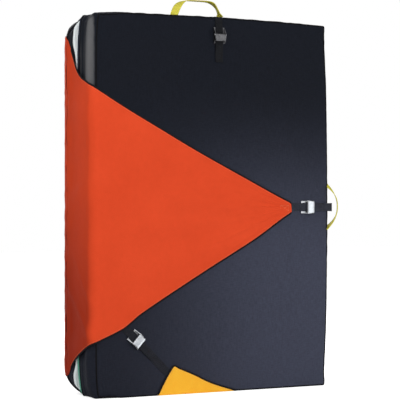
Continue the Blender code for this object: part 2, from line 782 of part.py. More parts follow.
def make_side_buckle():
    """The buckle at the flap's tip, its strap to the right seam and the webbing threaded through it."""
    matrix = make_buckle("side", SIDE_BUCKLE_PLACE, 0)
    across = matrix.to_3x3() @ Y
    to_edge = PAD_WIDTH - FRONT_EDGE_RADIUS - SIDE_BUCKLE_PLACE[0]
    line = on_frame(matrix, bar_loop(to_edge))
    height = SIDE_BUCKLE_PLACE[1]
    lift = CLOTH_LIFT + STRAP_LIFT
    start = HALF_DEPTH - FRONT_EDGE_RADIUS
    roll = [right_point(FRONT, start - STITCH_LENGTH / 2, height) + X * lift]
    for turn in even_steps(math.pi / 2, 0, ARC_STEPS)[:-1]:
        out = Vector((math.sin(turn), -math.cos(turn), 0))
        roll.append(right_point(FRONT, start + FRONT_EDGE_RADIUS * math.cos(turn), height) + out * lift)
    band("side_buckle_strap", roll + line, across, WEBBING_WIDTH, WEBBING, "webbing")
    tail = PAD_WIDTH + SIDE_TAIL_OVERHANG - SIDE_BUCKLE_PLACE[0]
    thread = thread_line(SIDE_BUCKLE_PLACE[0] - FLAP_REACH + STITCH_LENGTH, tail)
    thread += [(tail, thread[-1][1] + LAYER), (tail - TAIL_FOLD, thread[-1][1] + LAYER)]
    band("flap_tip_webbing", on_frame(matrix, thread), across, WEBBING_WIDTH, WEBBING, "webbing")


def make_top_buckle():
    """The buckle under the top edge, on a tab sewn to the front, and the strap that comes over the top."""
    matrix = make_buckle("top", TOP_BUCKLE_PLACE, -math.pi / 2)
    across = matrix.to_3x3() @ Y
    tab = on_frame(matrix, bar_loop(BUCKLE_LENGTH / 2 + STITCH_LENGTH + WEBBING_WIDTH))
    band("top_buckle_tab", tab, across, WEBBING_WIDTH, WEBBING, "webbing")
    x = LEFT + TOP_BUCKLE_PLACE[0]
    half_length = BUCKLE_LENGTH / 2
    thread = on_frame(matrix, thread_line(half_length + THREAD_RAMP, half_length + 2 * STITCH_LENGTH))
    lift = CLOTH_LIFT + WEBBING / 2
    firm_end = RIM_DEPTH + FIRM_FOAM_DEPTH
    sewn = (HALF_DEPTH - BACK_EDGE_RADIUS, firm_end, RIM_DEPTH)
    points = [top_point(BACK, x, depth) + Z * lift for depth in sewn]
    start = HALF_DEPTH - FRONT_EDGE_RADIUS
    for turn in even_steps(math.pi / 2, 0, ARC_STEPS):
        out = Vector((0, -math.cos(turn), math.sin(turn)))
        points.append(top_point(FRONT, x, start + FRONT_EDGE_RADIUS * math.cos(turn)) + out * lift)
    band("top_strap", points + thread[1:], across, WEBBING_WIDTH, WEBBING, "webbing")


def make_lower_buckle():
    """The buckle between the flap's lower edge and the yellow flap, on the long slanting strap."""
    matrix = make_buckle("lower", LOWER_BUCKLE_PLACE, LOWER_STRAP_ANGLE)
    across = matrix.to_3x3() @ Y
    foot_x = ANCHOR_FLAP_LEFT + ANCHOR_FLAP_WIDTH * ANCHOR_FLAP_TOP_SHARES[3][0]
    reach = (foot_x - LOWER_BUCKLE_PLACE[0]) / math.cos(LOWER_STRAP_ANGLE)
    line = on_frame(matrix, bar_loop(reach + WEBBING_WIDTH / 2))
    band("lower_strap", line, across, WEBBING_WIDTH, WEBBING, "webbing")
    half_length = BUCKLE_LENGTH / 2
    thread = thread_line(half_length + STITCH_LENGTH, half_length + 2 * STITCH_LENGTH)
    band("flap_lower_webbing", on_frame(matrix, thread), across, WEBBING_WIDTH, WEBBING, "webbing")


# Handles and hinge cloth


def handle_path(start, end, out, rise, twists):
    """A grab loop from start to end: its webbing is turned by a share of a quarter turn at each foot."""
    points, sides = [], []
    run = end - start
    along = run.normalized()
    across = along.cross(out).normalized()
    for step in range(HANDLE_STEPS + 1):
        share = step / HANDLE_STEPS
        height = rise * (1 - abs(2 * share - 1) ** HANDLE_SQUARENESS)
        foot = twists[0] if 2 * share < 1 else twists[1]
        untwisted = min(min(share, 1 - share) / HANDLE_TWIST_SHARE, 1)
        angle = (1 - foot * (1 - untwisted)) * math.pi / 2
        points.append(start + run * share + out * height)
        sides.append(along * math.cos(angle) + across * math.sin(angle))
    return points, sides


def make_top_handle():
    """The carrying handle on the top edge: its left foot lies flat along the edge, its right foot across it."""
    lift = Z * (SEAT_GAP + HANDLE_WEBBING / 2)
    middle = LEFT + PAD_WIDTH / 2
    left_x, right_x = middle - TOP_HANDLE_LEFT_REACH, middle + TOP_HANDLE_RIGHT_REACH
    start = top_point(FRONT, left_x, HALF_DEPTH - FRONT_EDGE_RADIUS * (1 - TOP_HANDLE_FOOT_SHARE)) + lift
    end = top_point(FRONT, right_x, HALF_DEPTH - FRONT_EDGE_RADIUS) + Y * WEBBING_WIDTH / 2 + lift
    points, sides = handle_path(start, end, Z, TOP_HANDLE_RISE, (1, 0))
    band("top_handle", points, sides, WEBBING_WIDTH, HANDLE_WEBBING, "handle_webbing")


def make_side_handle():
    """The handle on the front right edge, splayed out to the side and towards the front."""
    out = Vector((math.cos(SIDE_HANDLE_SPLAY), -math.sin(SIDE_HANDLE_SPLAY), 0))
    depth = HALF_DEPTH - FRONT_EDGE_RADIUS * (1 - math.sin(SIDE_HANDLE_SPLAY))
    low = SIDE_BUCKLE_PLACE[1] - SIDE_HANDLE_UNDER_BUCKLE
    high = SIDE_BUCKLE_PLACE[1] + SIDE_HANDLE_OVER_BUCKLE
    feet = [right_point(FRONT, depth, z) + out * SEAT_GAP for z in (low, high)]
    points, sides = handle_path(*feet, out, SIDE_HANDLE_RISE, (1, 1))
    band("side_handle", points, sides, WEBBING_WIDTH, HANDLE_WEBBING, "handle_webbing")


def make_hinge_cloth(name, half):
    """Half of the cloth hinge: sewn to the right wall of one half, it reaches out to the fold line."""
    firm_end = RIM_DEPTH + FIRM_FOAM_DEPTH
    heights = block_lattice(0)[1]
    rows = []
    for z in heights[1:-1]:
        wall = [right_point(half, depth, z) + X * SEAT_GAP for depth in (RIM_DEPTH, firm_end)]
        rows.append([Vector((PAD_WIDTH / 2 + SEAT_GAP, half * SEAT_GAP, z)), *wall])
    outs = [[X] * len(rows[0])] * len(rows)
    sheet(name, rows, outs, HINGE_CLOTH, "cover_cloth")


# Carrying straps


def ladder_frame(name, length, width, body, bar, finish):
    """A moulded three-bar slider."""
    half_length, half_width = length / 2, width / 2
    plate = box(name, (-half_length, -half_width, 0), (half_length, half_width, body), finish)
    bevel = plate.modifiers.new("rounding", "BEVEL")
    bevel.width = body / 5
    bevel.segments = 2
    gap = (length - 3 * bar) / 2
    pieces = [plate]
    for index in range(2):
        start = -half_length + bar + index * (gap + bar)
        window = box(
            f"{name}_window_{index}",
            (start, -half_width + bar, -CUT_OVERRUN),
            (start + gap, half_width - bar, body + CUT_OVERRUN),
            finish,
        )
        cut(plate, window)
        pieces.append(window)
    return pieces


def make_shoulder_strap(word, hand):
    """A padded shoulder strap with its slider and lower webbing on the back face."""
    x_top = hand * SHOULDER_SPACING / 2
    half_pad = SHOULDER_PAD / 2
    points = []
    for share in even_steps(0, 1, 12):
        z = SHOULDER_TOP - share * SHOULDER_PAD_LENGTH
        x = x_top + hand * SHOULDER_SPREAD * share
        bow = SHOULDER_BOW * math.sin(math.pi * share)
        points.append(face_point(BACK, x, z, half_pad + CLOTH_LIFT + bow))
    band("shoulder_strap_" + word, points, X, SHOULDER_PAD_WIDTH, SHOULDER_PAD, "strap_padding")
    x_low = x_top + hand * SHOULDER_SPREAD
    z_low = SHOULDER_TOP - SHOULDER_PAD_LENGTH
    slider_z = z_low - SEAT_GAP - ADJUSTER_LENGTH / 2
    slider = ladder_frame(
        "strap_slider_" + word, ADJUSTER_LENGTH, ADJUSTER_WIDTH, ADJUSTER_BODY, ADJUSTER_BAR, "buckle_plastic"
    )
    matrix = face_frame(BACK, x_low, slider_z, -math.pi / 2)
    matrix.translation += Y * (CLOTH_LIFT + WEBBING + SEAT_GAP)
    place(slider, matrix)
    heights = even_steps(slider_z + ADJUSTER_LENGTH / 2, SHOULDER_FOOT, 4)
    tail = [face_point(BACK, x_low, z, CLOTH_LIFT + WEBBING / 2) for z in heights]
    band("strap_webbing_" + word, tail, X, WEBBING_WIDTH, WEBBING, "webbing")


def make_belt(word, hand):
    """One wing of the waist belt with its webbing, lying unbuckled on the back face."""
    root = BELT_ROOT
    wing = [
        face_point(BACK, hand * x, BELT_HEIGHT, BELT_WING / 2 + CLOTH_LIFT)
        for x in even_steps(root, root - BELT_WING_LENGTH, 6)
    ]
    band("belt_wing_" + word, wing, Z, BELT_WING_WIDTH, BELT_WING, "strap_padding")
    start = root - BELT_WING_LENGTH
    end = start - BELT_WEBBING_LENGTH
    lift = CLOTH_LIFT + BELT_WING / 2
    line = [face_point(BACK, hand * x, BELT_HEIGHT, lift) for x in (start - SEAT_GAP, end)]
    band("belt_webbing_" + word, line, Z, WEBBING_WIDTH, WEBBING, "webbing")
    return hand * (end - SEAT_GAP)


def make_belt_buckle():
    """The two halves of the side-release buckle, held apart at the belt's ends."""
    root = make_belt("left", -1)
    mouth = make_belt("right", 1)
    half_width = BELT_BUCKLE_WIDTH / 2
    body = BELT_BUCKLE_BODY
    wall = body / 4
    base = HALF_DEPTH + FACE_CROWN + CLOTH_LIFT
    far = mouth - BELT_SOCKET_LENGTH
    low, high = BELT_HEIGHT - half_width, BELT_HEIGHT + half_width
    socket = box("belt_buckle_socket", (far, base, low), (mouth, base + body, high), "buckle_plastic")
    pocket = box(
        "belt_buckle_pocket",
        (far - CUT_OVERRUN, base + wall, low + wall),
        (mouth - wall, base + body - wall, high - wall),
        "buckle_plastic",
    )
    cut(socket, pocket)
    prong = BELT_PRONG
    tip = root + prong + BELT_PRONG_LENGTH
    lower_half = (
        (root, -half_width),
        (root + prong, -half_width),
        (tip, -half_width + prong / 2),
        (tip, -half_width + prong + prong / 2),
        (root + prong, -half_width + 2 * prong),
    )
    outline = lower_half + tuple((x, -z) for x, z in reversed(lower_half))
    plug = extruded("belt_buckle_plug", outline, base + body / 3, base + 2 * body / 3, "buckle_plastic")
    plug.matrix_world = Matrix.Translation(Z * BELT_HEIGHT)


def make_crash_pad():
    clear_scene()
    for half, word in ((BACK, "back"), (FRONT, "front")):
        make_half(half, word)
        make_hinge_cloth(word + "_hinge_cloth", half)
    make_flap()
    make_anchor_flap()
    make_side_buckle()
    make_top_buckle()
    make_lower_buckle()
    make_top_handle()
    make_side_handle()
    for word, hand in (("left", -1), ("right", 1)):
        make_shoulder_strap(word, hand)
    make_belt_buckle()


make_crash_pad()
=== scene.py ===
"""A folding bouldering crash pad, dressed with its cloth, webbing and metal finishes.

Sizes are in metres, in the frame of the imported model: +X to the right, +Y to the back,
+Z up, the floor at z = 0 and the halves meeting at y = 0.
"""

import math

import bpy
import numpy as np
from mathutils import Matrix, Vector, noise
from mathutils.bvhtree import BVHTree


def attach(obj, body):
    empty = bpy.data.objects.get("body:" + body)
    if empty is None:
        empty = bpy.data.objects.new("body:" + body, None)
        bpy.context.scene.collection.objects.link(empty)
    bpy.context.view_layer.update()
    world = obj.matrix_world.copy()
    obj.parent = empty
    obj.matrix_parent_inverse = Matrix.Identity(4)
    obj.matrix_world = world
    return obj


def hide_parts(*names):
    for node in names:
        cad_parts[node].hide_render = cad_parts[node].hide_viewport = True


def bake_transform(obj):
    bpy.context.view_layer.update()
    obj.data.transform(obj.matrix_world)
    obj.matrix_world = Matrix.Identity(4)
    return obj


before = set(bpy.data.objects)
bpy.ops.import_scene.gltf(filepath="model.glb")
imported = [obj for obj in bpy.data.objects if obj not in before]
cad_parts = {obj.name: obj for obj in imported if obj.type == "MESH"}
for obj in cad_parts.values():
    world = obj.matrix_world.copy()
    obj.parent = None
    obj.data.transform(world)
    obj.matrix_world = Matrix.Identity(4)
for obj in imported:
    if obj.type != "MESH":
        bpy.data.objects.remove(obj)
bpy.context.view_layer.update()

# The pad, as the frame has it
PAD_WIDTH = 0.82
PAD_HEIGHT = 1.12
HALF_DEPTH = 0.118
SIDE_BULGE = 0.012
TOP_CROWN = 0.006
FACE_CROWN = 0.004
WALL_DRAW = 0.006
CORNER_DRAW = 0.008
RIM_DEPTH = 0.0138
PANEL_INSET = 0.003
FOLD_GAP = 0.0006
LEFT = -PAD_WIDTH / 2
WALL_TO_WALL = PAD_WIDTH - SIDE_BULGE
FLOOR_TO_TOP = PAD_HEIGHT - TOP_CROWN
FRONT, BACK = -1, 1
X, Y, Z = Vector((1, 0, 0)), Vector((0, 1, 0)), Vector((0, 0, 1))

# Rolled edges and rounded corners of the two halves. The lead is the front's left edge, which is softer
# and stands further out: pairs are where it sets in and over what run.
FRONT_EDGE_RADIUS = 0.012
BACK_EDGE_RADIUS = 0.055
FRONT_SEAM_RADIUS = 0.007
LEAD_SEAM_RADIUS = 0.02
LEAD_OUT = 0.012
LEAD_SIDE = (0.1, 0.07)
LEAD_DEPTH = (0.035, 0.06)
SEAM_SHIFT = 0.0105
FRONT_RIM_CORNER = 0.011
FRONT_CORNER = 0.006
BACK_RIM_CORNER = 0.024
BACK_CORNER = 0.066
TOP_CORNER_SHARE = 0.76
CORNER_LEAN = 0.013
CORNER_LEAN_REACH = 0.11
WALL_FOLD = 0.0026
CELL_GATHER = 0.7
PIPING = 0.0021
RIM_PIPING = 0.0014
PANEL_SOFTNESS = 0.004
PANEL_SWELL = 0.011
PANEL_RIPPLE = 0.0006

# Levels, and the runs they take, at which the landing cloth's lip comes free and is held again
PANEL_FREE_TOP, PANEL_FREE_FOOT, PANEL_HELD_END = (0.78, 0.09), (0.835, 0.07), (0.985, 0.05)

# Cells of the boxes and of the laid cloths, across and along
COVER_CELLS = (76, 24, 100)
PANEL_CELLS = (40, 10, 60)
FLAP_CELLS = (80, 230)
STRIP_CELLS = (60, 40)
ANCHOR_CELLS = (24, 110)
HINGE_CELLS = (28, 90)
TAPE_CELLS = 6
CORD_SIDES = 8
THREAD_SIDES = 4

# Cloth simulation of the covers
BLOW_FRAMES = 20
BLOW_PRESSURE = 3.0
WALL_SLACK = 0.004
FACE_SLACK = 0.0003
FACE_DIP = 0.0016
SEAM_HOLD = 0.85

# Closing flap: (distance from the left edge or from the front face, height) points of its edges
FLAP_LIFT = 0.0018
FLAP_CLOTH = 0.0009
FLAP_REACH = 0.679
FLAP_TURN = 0.02
FLAP_SEAM_WIDTH = 0.02
FRONT_TOP = (
    (-0.012, 0.903), (0, 0.896), (0.09, 0.8465), (0.2, 0.7905), (0.359, 0.712), (0.52, 0.6375),
    (0.6145, 0.594), (0.656, 0.5765), (0.674, 0.569), (0.6783, 0.5665), (0.679, 0.5645),
)
FRONT_LOW = (
    (-0.012, 0.158), (0, 0.163), (0.09, 0.2), (0.15, 0.241), (0.359, 0.356), (0.544, 0.454),
    (0.639, 0.512), (0.656, 0.5215), (0.674, 0.5315), (0.6783, 0.534), (0.679, 0.536),
)
SIDE_TOP = (
    (0, 0.903), (0.033, 0.9165), (0.071, 0.931), (0.106, 0.956), (0.137, 0.996), (0.158, 1.029),
    (0.182, 1.05), (0.2, 1.058), (0.236, 1.064),
)
SIDE_LOW = ((0, 0.158), (0.092, 0.1176), (0.137, 0.093), (0.165, 0.065), (0.182, 0.056), (0.236, 0.046))
FOLD_TIP_HEIGHT = 0.5525
TIP_SEWING_INSET, TIP_SEWING_DROP, TIP_SEWING_SIZE = 0.026, 0.0025, (0.03, 0.017)
BINDING_OUT = 0.0016
BINDING_IN = 0.003
BINDING_TAPE = 0.0006
TAPE_LIFT = 0.0007
CLOTH_GAP = 0.0004

# Folds of the orange cloth: how far each kind stands out, and how wide it is.
# A pull is (how far it stands out, slope, start of its slope, height, width).
FAN_FOLD, FAN_TURNS, FAN_FADE, FAN_START = 0.003, 34, 0.16, 0.09
LOW_DRAG, MIDDLE_DRAG, HIGH_DRAG = 0.0075, 0.0062, 0.0028
DRAG_WIDTH, HIGH_DRAG_WIDTH = 0.018, 0.03
PULLS = ((0.0026, -0.25, 0.02, 0.5, 0.012), (0.0022, 0.22, 0, 0.6, 0.01))
PULL_FADE = 0.3
SLOW_FOLD = 0.0046
EDGE_FOLD_SHARE = 0.42
FOLD_END = 0.02

# Anchor flap: (distance from the left edge, height) points of its upper edge
ANCHOR_TOP = (
    (0.2055, 0.003), (0.2279, 0.043), (0.2476, 0.0724), (0.2605, 0.0857), (0.28, 0.0777),
    (0.3262, 0.0592), (0.386, 0.032), (0.4801, 0.002),
)
ANCHOR_FOOT = 0.0012
ANCHOR_LIFT = 0.0026
ANCHOR_CLOTH = 0.0011

# Webbing and buckles, laid out on the buckle's own frame: (x, z, turn) is a buckle's place
WEBBING_WIDTH = 0.025
WEBBING = 0.0013
SEAT_GAP = 0.0003
CLOTH_LIFT = 0.0006
LAYER = WEBBING + SEAT_GAP
RAMP = 4 * LAYER
STITCH_LENGTH = 0.028
STITCH_PITCH = 0.0036
THREAD_RADIUS = 0.0005
THREAD_SEAT = 0.0003
FOLDED_THREAD_SEAT = 0.0004
HEM_INSET = 0.0055
SEWN_BOX = 0.019
BUCKLE_END = 0.048 / 2
BUCKLE_SHEET = 0.0016
BUCKLE_BAR = 0.004
BUCKLE_REAR_SLOT = 0.005
FRAME_LIFT = 2 * SEAT_GAP + WEBBING
THREAD_LIFT = FRAME_LIFT + BUCKLE_SHEET + SEAT_GAP + WEBBING / 2
STRAP_LIFT = SEAT_GAP + WEBBING / 2
UNDER_FLAP = SEAT_GAP + WEBBING / 2 - 0.0001
SIDE_BUCKLE = (0.33, 0.5525, 0.0)
TOP_BUCKLE = (0.0075, 1.0655, math.radians(-90))
LOWER_BUCKLE = (-0.279, 0.1675, math.radians(-43))
LOWER_STRAP_REACH = 0.1885
TAIL_OVERHANG = 0.011
TAIL_FOLD = 0.008
CAM_PLACE = -0.001 + 0.0046
WEBBING_BEND = 0.0024
OVER_PIPING = PIPING * 1.3
SEAM_TUCK = 0.012
SIDE_STRAP_DEPTHS = (0.021, 0.014, 0.008)
TOP_STRAP_BACK_DEPTHS = (HALF_DEPTH - BACK_EDGE_RADIUS, 0.05, 0.0388, 0.026, RIM_DEPTH)
TOP_STRAP_FRONT_DEPTHS = (0.016, 0.03, 0.05, 0.07, 0.09, 0.107)

# Handles: turns are (share, degrees) of the webbing about its own line
HANDLE_WEBBING = 0.002
TOP_HANDLE_FEET = ((-0.144, -0.112), (0.028, -0.0935))
TOP_HANDLE_RISE, TOP_HANDLE_SQUARENESS = 0.045, 5.2
SIDE_HANDLE_FEET = (0.488, 0.621)
SIDE_HANDLE_RISE, SIDE_HANDLE_SQUARENESS = 0.033, 2.3
SIDE_HANDLE_SPLAY = math.radians(32)
HANDLE_STEPS = 60
TOP_HANDLE_TURNS = (
    (0, 14), (0.04, 26), (0.12, 62), (0.22, 90), (0.8, 94), (0.93, 116), (0.975, 112), (1, 74),
)
SIDE_HANDLE_TURNS = ((0, 58), (0.08, 68), (0.3, 90), (0.7, 90), (0.92, 68), (1, 58))

# Hinge cloth
HINGE_REACH, HINGE_FOOT, HINGE_TOP, HINGE_BRIDGE = 0.0388, 0.016, 1.098, 0.4112
HINGE_CLOTH = 0.0011
HINGE_GAP = 0.0006

# Carrying straps on the back
SHOULDER_WIDTH = 0.062
SHOULDER_PAD = 0.011
SHOULDER_TOP = 0.87
SHOULDER_LENGTH = 0.4
SHOULDER_SPACING = 0.15
SHOULDER_SPREAD = 0.03
SHOULDER_BOW = 0.016
SHOULDER_FOOT = 0.3
BELT_HEIGHT = 0.225
BELT_ROOT = 0.27
BELT_WING_LENGTH = 0.15
BELT_WING_WIDTH = 0.06
BELT_WING = 0.009
BELT_WEBBING_END = 0.06
QUILT_CHANNEL = 0.05
STRIP_BINDING = 0.0019

# Camera: the photograph's view of the near left edge
PHOTO_PIXELS = 400
FOCAL_PIXELS = 1853
SENSOR_MM = 36
CAMERA_YAW = math.radians(32.0)
CAMERA_HEIGHT = 0.556
CAMERA_DISTANCE = 5.32
CAMERA_SIDE_STEP = 0.299
HORIZON_PIXEL = 206

# Light: the floor's grey and glow, the world's light, and each lamp's name, place, target, size and power
FLOOR_GREY = 0.94
FLOOR_GLOW = 0.65
WORLD_LIGHT = 0.36
LAMPS = (
    ("low_softbox", (1.7, -1.9, 0.15), (0.25, -0.1, 0.45), 1.3, 26),
    ("front_softbox", (-0.9, -3.0, 1.6), (-0.05, -0.1, 0.55), 2.0, 40),
    ("left_softbox", (-1.5, -0.55, 1.75), (-0.4, -0.05, 0.9), 0.9, 9.5),
    ("back_softbox", (0.9, 3.2, 1.9), (0.0, 0.1, 0.55), 2.2, 70),
)


# Small helpers


def only(obj):
    """Select one object and make it active."""
    bpy.ops.object.select_all(action="DESELECT")
    obj.select_set(True)
    bpy.context.view_layer.objects.active = obj


def coat(obj, material):
    """Give a piece its one material."""
    obj.data.materials.clear()
    obj.data.materials.append(material)


def settle(obj, name, material):
    """Name a finished piece and give it its one material."""
    obj.name = name
    obj.data.name = name
    coat(obj, material)
    return obj


def dress(piece, body, slot, *nodes):
    """Let a piece ride on its body and let it stand for the CAD nodes that it dresses; its slot is not used."""
    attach(piece, body)
    if nodes:
        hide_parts(*nodes)


def coordinates(obj):
    """The points of a mesh, one row each."""
    points = np.zeros(len(obj.data.vertices) * 3)
    obj.data.vertices.foreach_get("co", points)
    return points.reshape(-1, 3)


def set_coordinates(obj, points):
    """Move the points of a mesh."""
    obj.data.vertices.foreach_set("co", np.asarray(points, float).ravel())
    obj.data.update()


def apply_modifier(obj, kind, **values):
    """Add a modifier with these settings and apply it."""
    only(obj)
    bpy.ops.object.modifier_add(type=kind)
    modifier = obj.modifiers[-1]
    for key, value in values.items():
        setattr(modifier, key, value)
    bpy.ops.object.modifier_apply(modifier=modifier.name)


def in_edit_mode(obj, *steps):
    """Run mesh operators, given with their settings, on the whole of a piece."""
    only(obj)
    bpy.ops.object.mode_set(mode="EDIT")
    for operator, settings in steps:
        bpy.ops.mesh.select_all(action="SELECT")
        operator(**settings)
    bpy.ops.object.mode_set(mode="OBJECT")


def turn_out(obj):
    """Point all faces outwards."""
    in_edit_mode(obj, (bpy.ops.mesh.normals_make_consistent, {"inside": False}))


def finish_padded(obj, name, material):
    """Round a stuffed piece off with one level of subdivision."""
    apply_modifier(obj, "SUBSURF", levels=1, render_levels=1)
    only(obj)
    bpy.ops.object.shade_smooth()
    settle(obj, name, material)
    return obj


def even_places(low, high, count):
    """Places from low to high in count even steps."""
    return [low + (high - low) * k / count for k in range(count + 1)]


def even_out(share, gather):
    """Move an even share so that the steps near both ends are smaller."""
    return share - gather * math.sin(2 * math.pi * share) / (2 * math.pi)


def eased(share):
    """A share from 0 to 1 that starts and ends slowly."""
    share = min(max(share, 0.0), 1.0)
    return share * share * (3 - 2 * share)


def bump(at, centre, width):
    """A smooth hump of height 1 about a centre."""
    return math.exp(-(((at - centre) / width) ** 2))


def along_curve(points, at):
    """Height of a smooth curve through (place, height) points."""
    places = [place for place, _ in points]
    heights = [height for _, height in points]
    at = min(max(at, places[0]), places[-1])
    index = max(0, min(len(places) - 2, int(np.searchsorted(places, at)) - 1))
    run = places[index + 1] - places[index]

    def slope(k):
        low, high = max(k - 1, 0), min(k + 1, len(places) - 1)
        return (heights[high] - heights[low]) / (places[high] - places[low])

    t = (at - places[index]) / run
    a, b = heights[index], heights[index + 1]
    m, n = slope(index) * run, slope(index + 1) * run
    return (2 * t**3 - 3 * t**2 + 1) * a + (t**3 - 2 * t**2 + t) * m + (3 * t**2 - 2 * t**3) * b + (t**3 - t**2) * n


# Form of the stuffed halves


def plan_radius(half, depth):
    """Corner radius of a half's outline at a depth: the back is rounder towards its outer face."""
    if half == FRONT:
        return FRONT_RIM_CORNER + (FRONT_CORNER - FRONT_RIM_CORNER) * min(depth / HALF_DEPTH, 1)
    return BACK_RIM_CORNER + (BACK_CORNER - BACK_RIM_CORNER) * min(depth / (HALF_DEPTH - BACK_EDGE_RADIUS), 1)


def seam_radius(half, x):
    """How roundly a half's outer edge rolls: the front's left edge is softer than its others."""
    if half == BACK:
        return BACK_EDGE_RADIUS
    return FRONT_SEAM_RADIUS + (LEAD_SEAM_RADIUS - FRONT_SEAM_RADIUS) * eased((LEFT + LEAD_SIDE[0] - x) / LEAD_SIDE[1])


def wall_fold(half, depth, along):
    """How far a wall stands out at a depth: long folds that run along it."""
    share = (depth - RIM_DEPTH) / (HALF_DEPTH - RIM_DEPTH)
    if not 0 < share < 1:
        return 0
    drift = 0.03 * noise.noise(Vector((along * 2.2, half * 3.0, 0.5)))
    if half == FRONT:
        form = 0.9 * bump(share, 0.17 + drift, 0.07) - bump(share, 0.37 + drift, 0.07)
        form += 0.9 * bump(share, 0.6 + drift, 0.13) + 0.5 * bump(share, 0.83, 0.08)
    else:
        form = bump(share, 0.2 + drift, 0.1) - 0.8 * bump(share, 0.42 + drift, 0.09) + 0.5 * bump(share, 0.66, 0.1)
    form *= 1 + 0.5 * noise.noise(Vector((along * 7, share * 2, 4.0)))
    return WALL_FOLD * form * math.sin(math.pi * share) ** 0.5


def corner_lean(half, depth, level):
    """How far a wall leans in near its ends, at a depth and a level from -1 to 1."""
    past = max(0, abs(level) - (1 - 2 * CORNER_LEAN_REACH / FLOOR_TO_TOP)) * FLOOR_TO_TOP / 2 / CORNER_LEAN_REACH
    lean = CORNER_LEAN * (TOP_CORNER_SHARE if level > 0 else 1)
    return past * past * lean * (1 - depth / HALF_DEPTH if half == FRONT else 1)


def swell(half, x, depth, z):
    """Move a point of a rounded block to where the stuffed form has it."""
    share_x = (x - LEFT) / WALL_TO_WALL
    share_z = z / FLOOR_TO_TOP
    side, level = 2 * share_x - 1, 2 * share_z - 1
    drawn_depth = HALF_DEPTH - FRONT_EDGE_RADIUS if half == FRONT else HALF_DEPTH
    pinch = math.sin(math.pi * min(depth / drawn_depth, 1))
    x += SIDE_BULGE * share_x * (1 - level**2) - WALL_DRAW * pinch * side**3
    x -= corner_lean(half, depth, level) * side**5
    if half == FRONT and side < 0:
        x -= LEAD_OUT * side**8 * eased((depth - LEAD_DEPTH[0]) / LEAD_DEPTH[1]) * (1 - level**16)
    z += TOP_CROWN * share_z * (1 - side**2)
    z -= pinch * share_z**3 * (WALL_DRAW + (CORNER_DRAW if half == BACK else -WALL_DRAW / 2) * side**6)
    depth += FACE_CROWN * depth / HALF_DEPTH * (1 - side**2) * (1 - level**2)
    return x, depth, z


def stuffed_point(half, x, depth, z, folds=1.0):
    """Where a point of the plain block lies on the stuffed half, with its edges rolled."""
    radius = seam_radius(half, x)
    wide, tall = WALL_TO_WALL / 2, FLOOR_TO_TOP / 2
    mid_x, mid_z = LEFT + wide, tall
    inward = min(wide - abs(x - mid_x), tall - abs(z - mid_z))
    a, b = radius - inward, depth - (HALF_DEPTH - radius)
    if a > 0 and b > 0:
        pull = max(a, b) / math.hypot(a, b)
        depth = HALF_DEPTH - radius + b * pull
        x = mid_x + (x - mid_x) * (wide - radius + a * pull) / (wide - inward)
        z = mid_z + (z - mid_z) * (tall - radius + a * pull) / (tall - inward)
        inward = radius - a * pull
    rounding = plan_radius(half, depth) * (TOP_CORNER_SHARE if z > mid_z else 1)
    corner = max(rounding - inward, 1e-4)
    dx = abs(x - mid_x) - (wide - inward - corner)
    dz = abs(z - mid_z) - (tall - inward - corner)
    way = Vector((1 if dx > dz else 0, 0 if dx > dz else 1))
    if dx > 0 and dz > 0:
        pull = max(dx, dz) / math.hypot(dx, dz)
        way = Vector((dx, dz)).normalized()
        x -= math.copysign(dx * (1 - pull), x - mid_x)
        z -= math.copysign(dz * (1 - pull), z - mid_z)
    if inward < 1e-6 and folds:
        out = folds * wall_fold(half, depth, z if way.x > way.y else x)
        x += math.copysign(out * way.x, x - mid_x)
        z += out * way.y if z > mid_z else 0
    x, depth, z = swell(half, x, depth, z)
    return Vector((x, half * depth, max(z, 0)))


# Materials


def put(tree, kind, settings=(), **links):
    """Add a node: settings are its properties, links its inputs, given as values or as sockets."""
    node = tree.nodes.new("ShaderNode" + kind)
    for key, value in dict(settings).items():
        setattr(node, key, value)
    for key, value in links.items():
        name = int(key[1:]) if key[0] == "i" and key[1:].isdigit() else key.replace("_", " ")
        if isinstance(value, bpy.types.NodeSocket):
            tree.links.new(value, node.inputs[name])
        else:
            node.inputs[name].default_value = value
    return node


def use(tree, group, **links):
    """Place a shader group in a material, with its inputs, and give its outputs."""
    return put(tree, "Group", {"node_tree": group}, **links).outputs


def sums(tree, operation, first, second=0.0, third=0.0):
    """One step of arithmetic on values or sockets."""
    return put(tree, "Math", {"operation": operation}, i0=first, i1=second, i2=third).outputs[0]


def ramp(tree, value, low, high, start=0.0, end=1.0, smooth=True):
    """A share that goes from start to end while the value goes from low to high."""
    settings = {"interpolation_type": "SMOOTHSTEP" if smooth else "LINEAR"}
    made = put(tree, "MapRange", settings, Value=value, From_Min=low, From_Max=high, To_Min=start, To_Max=end)
    return made.outputs[0]


def clouds(tree, place, scale, detail, roughness=0.5):
    """Soft noise from 0 to 1."""
    return put(tree, "TexNoise", Vector=place, Scale=scale, Detail=detail, Roughness=roughness).outputs[0]


def stretched(tree, place, by):
    """A place scaled by its own number along each axis."""
    return put(tree, "VectorMath", {"operation": "MULTIPLY"}, i0=place, i1=by).outputs[0]


def blend_value(tree, share, first, second):
    """Mix two values."""
    return put(tree, "Mix", {"data_type": "FLOAT"}, i0=share, i2=first, i3=second).outputs[0]


def blend_colour(tree, share, dark, light):
    """Mix two colours, each given as three numbers or as a socket."""
    dark, light = [c if isinstance(c, bpy.types.NodeSocket) else (*c, 1) for c in (dark, light)]
    return put(tree, "Mix", {"data_type": "RGBA"}, i0=share, i6=dark, i7=light).outputs[2]


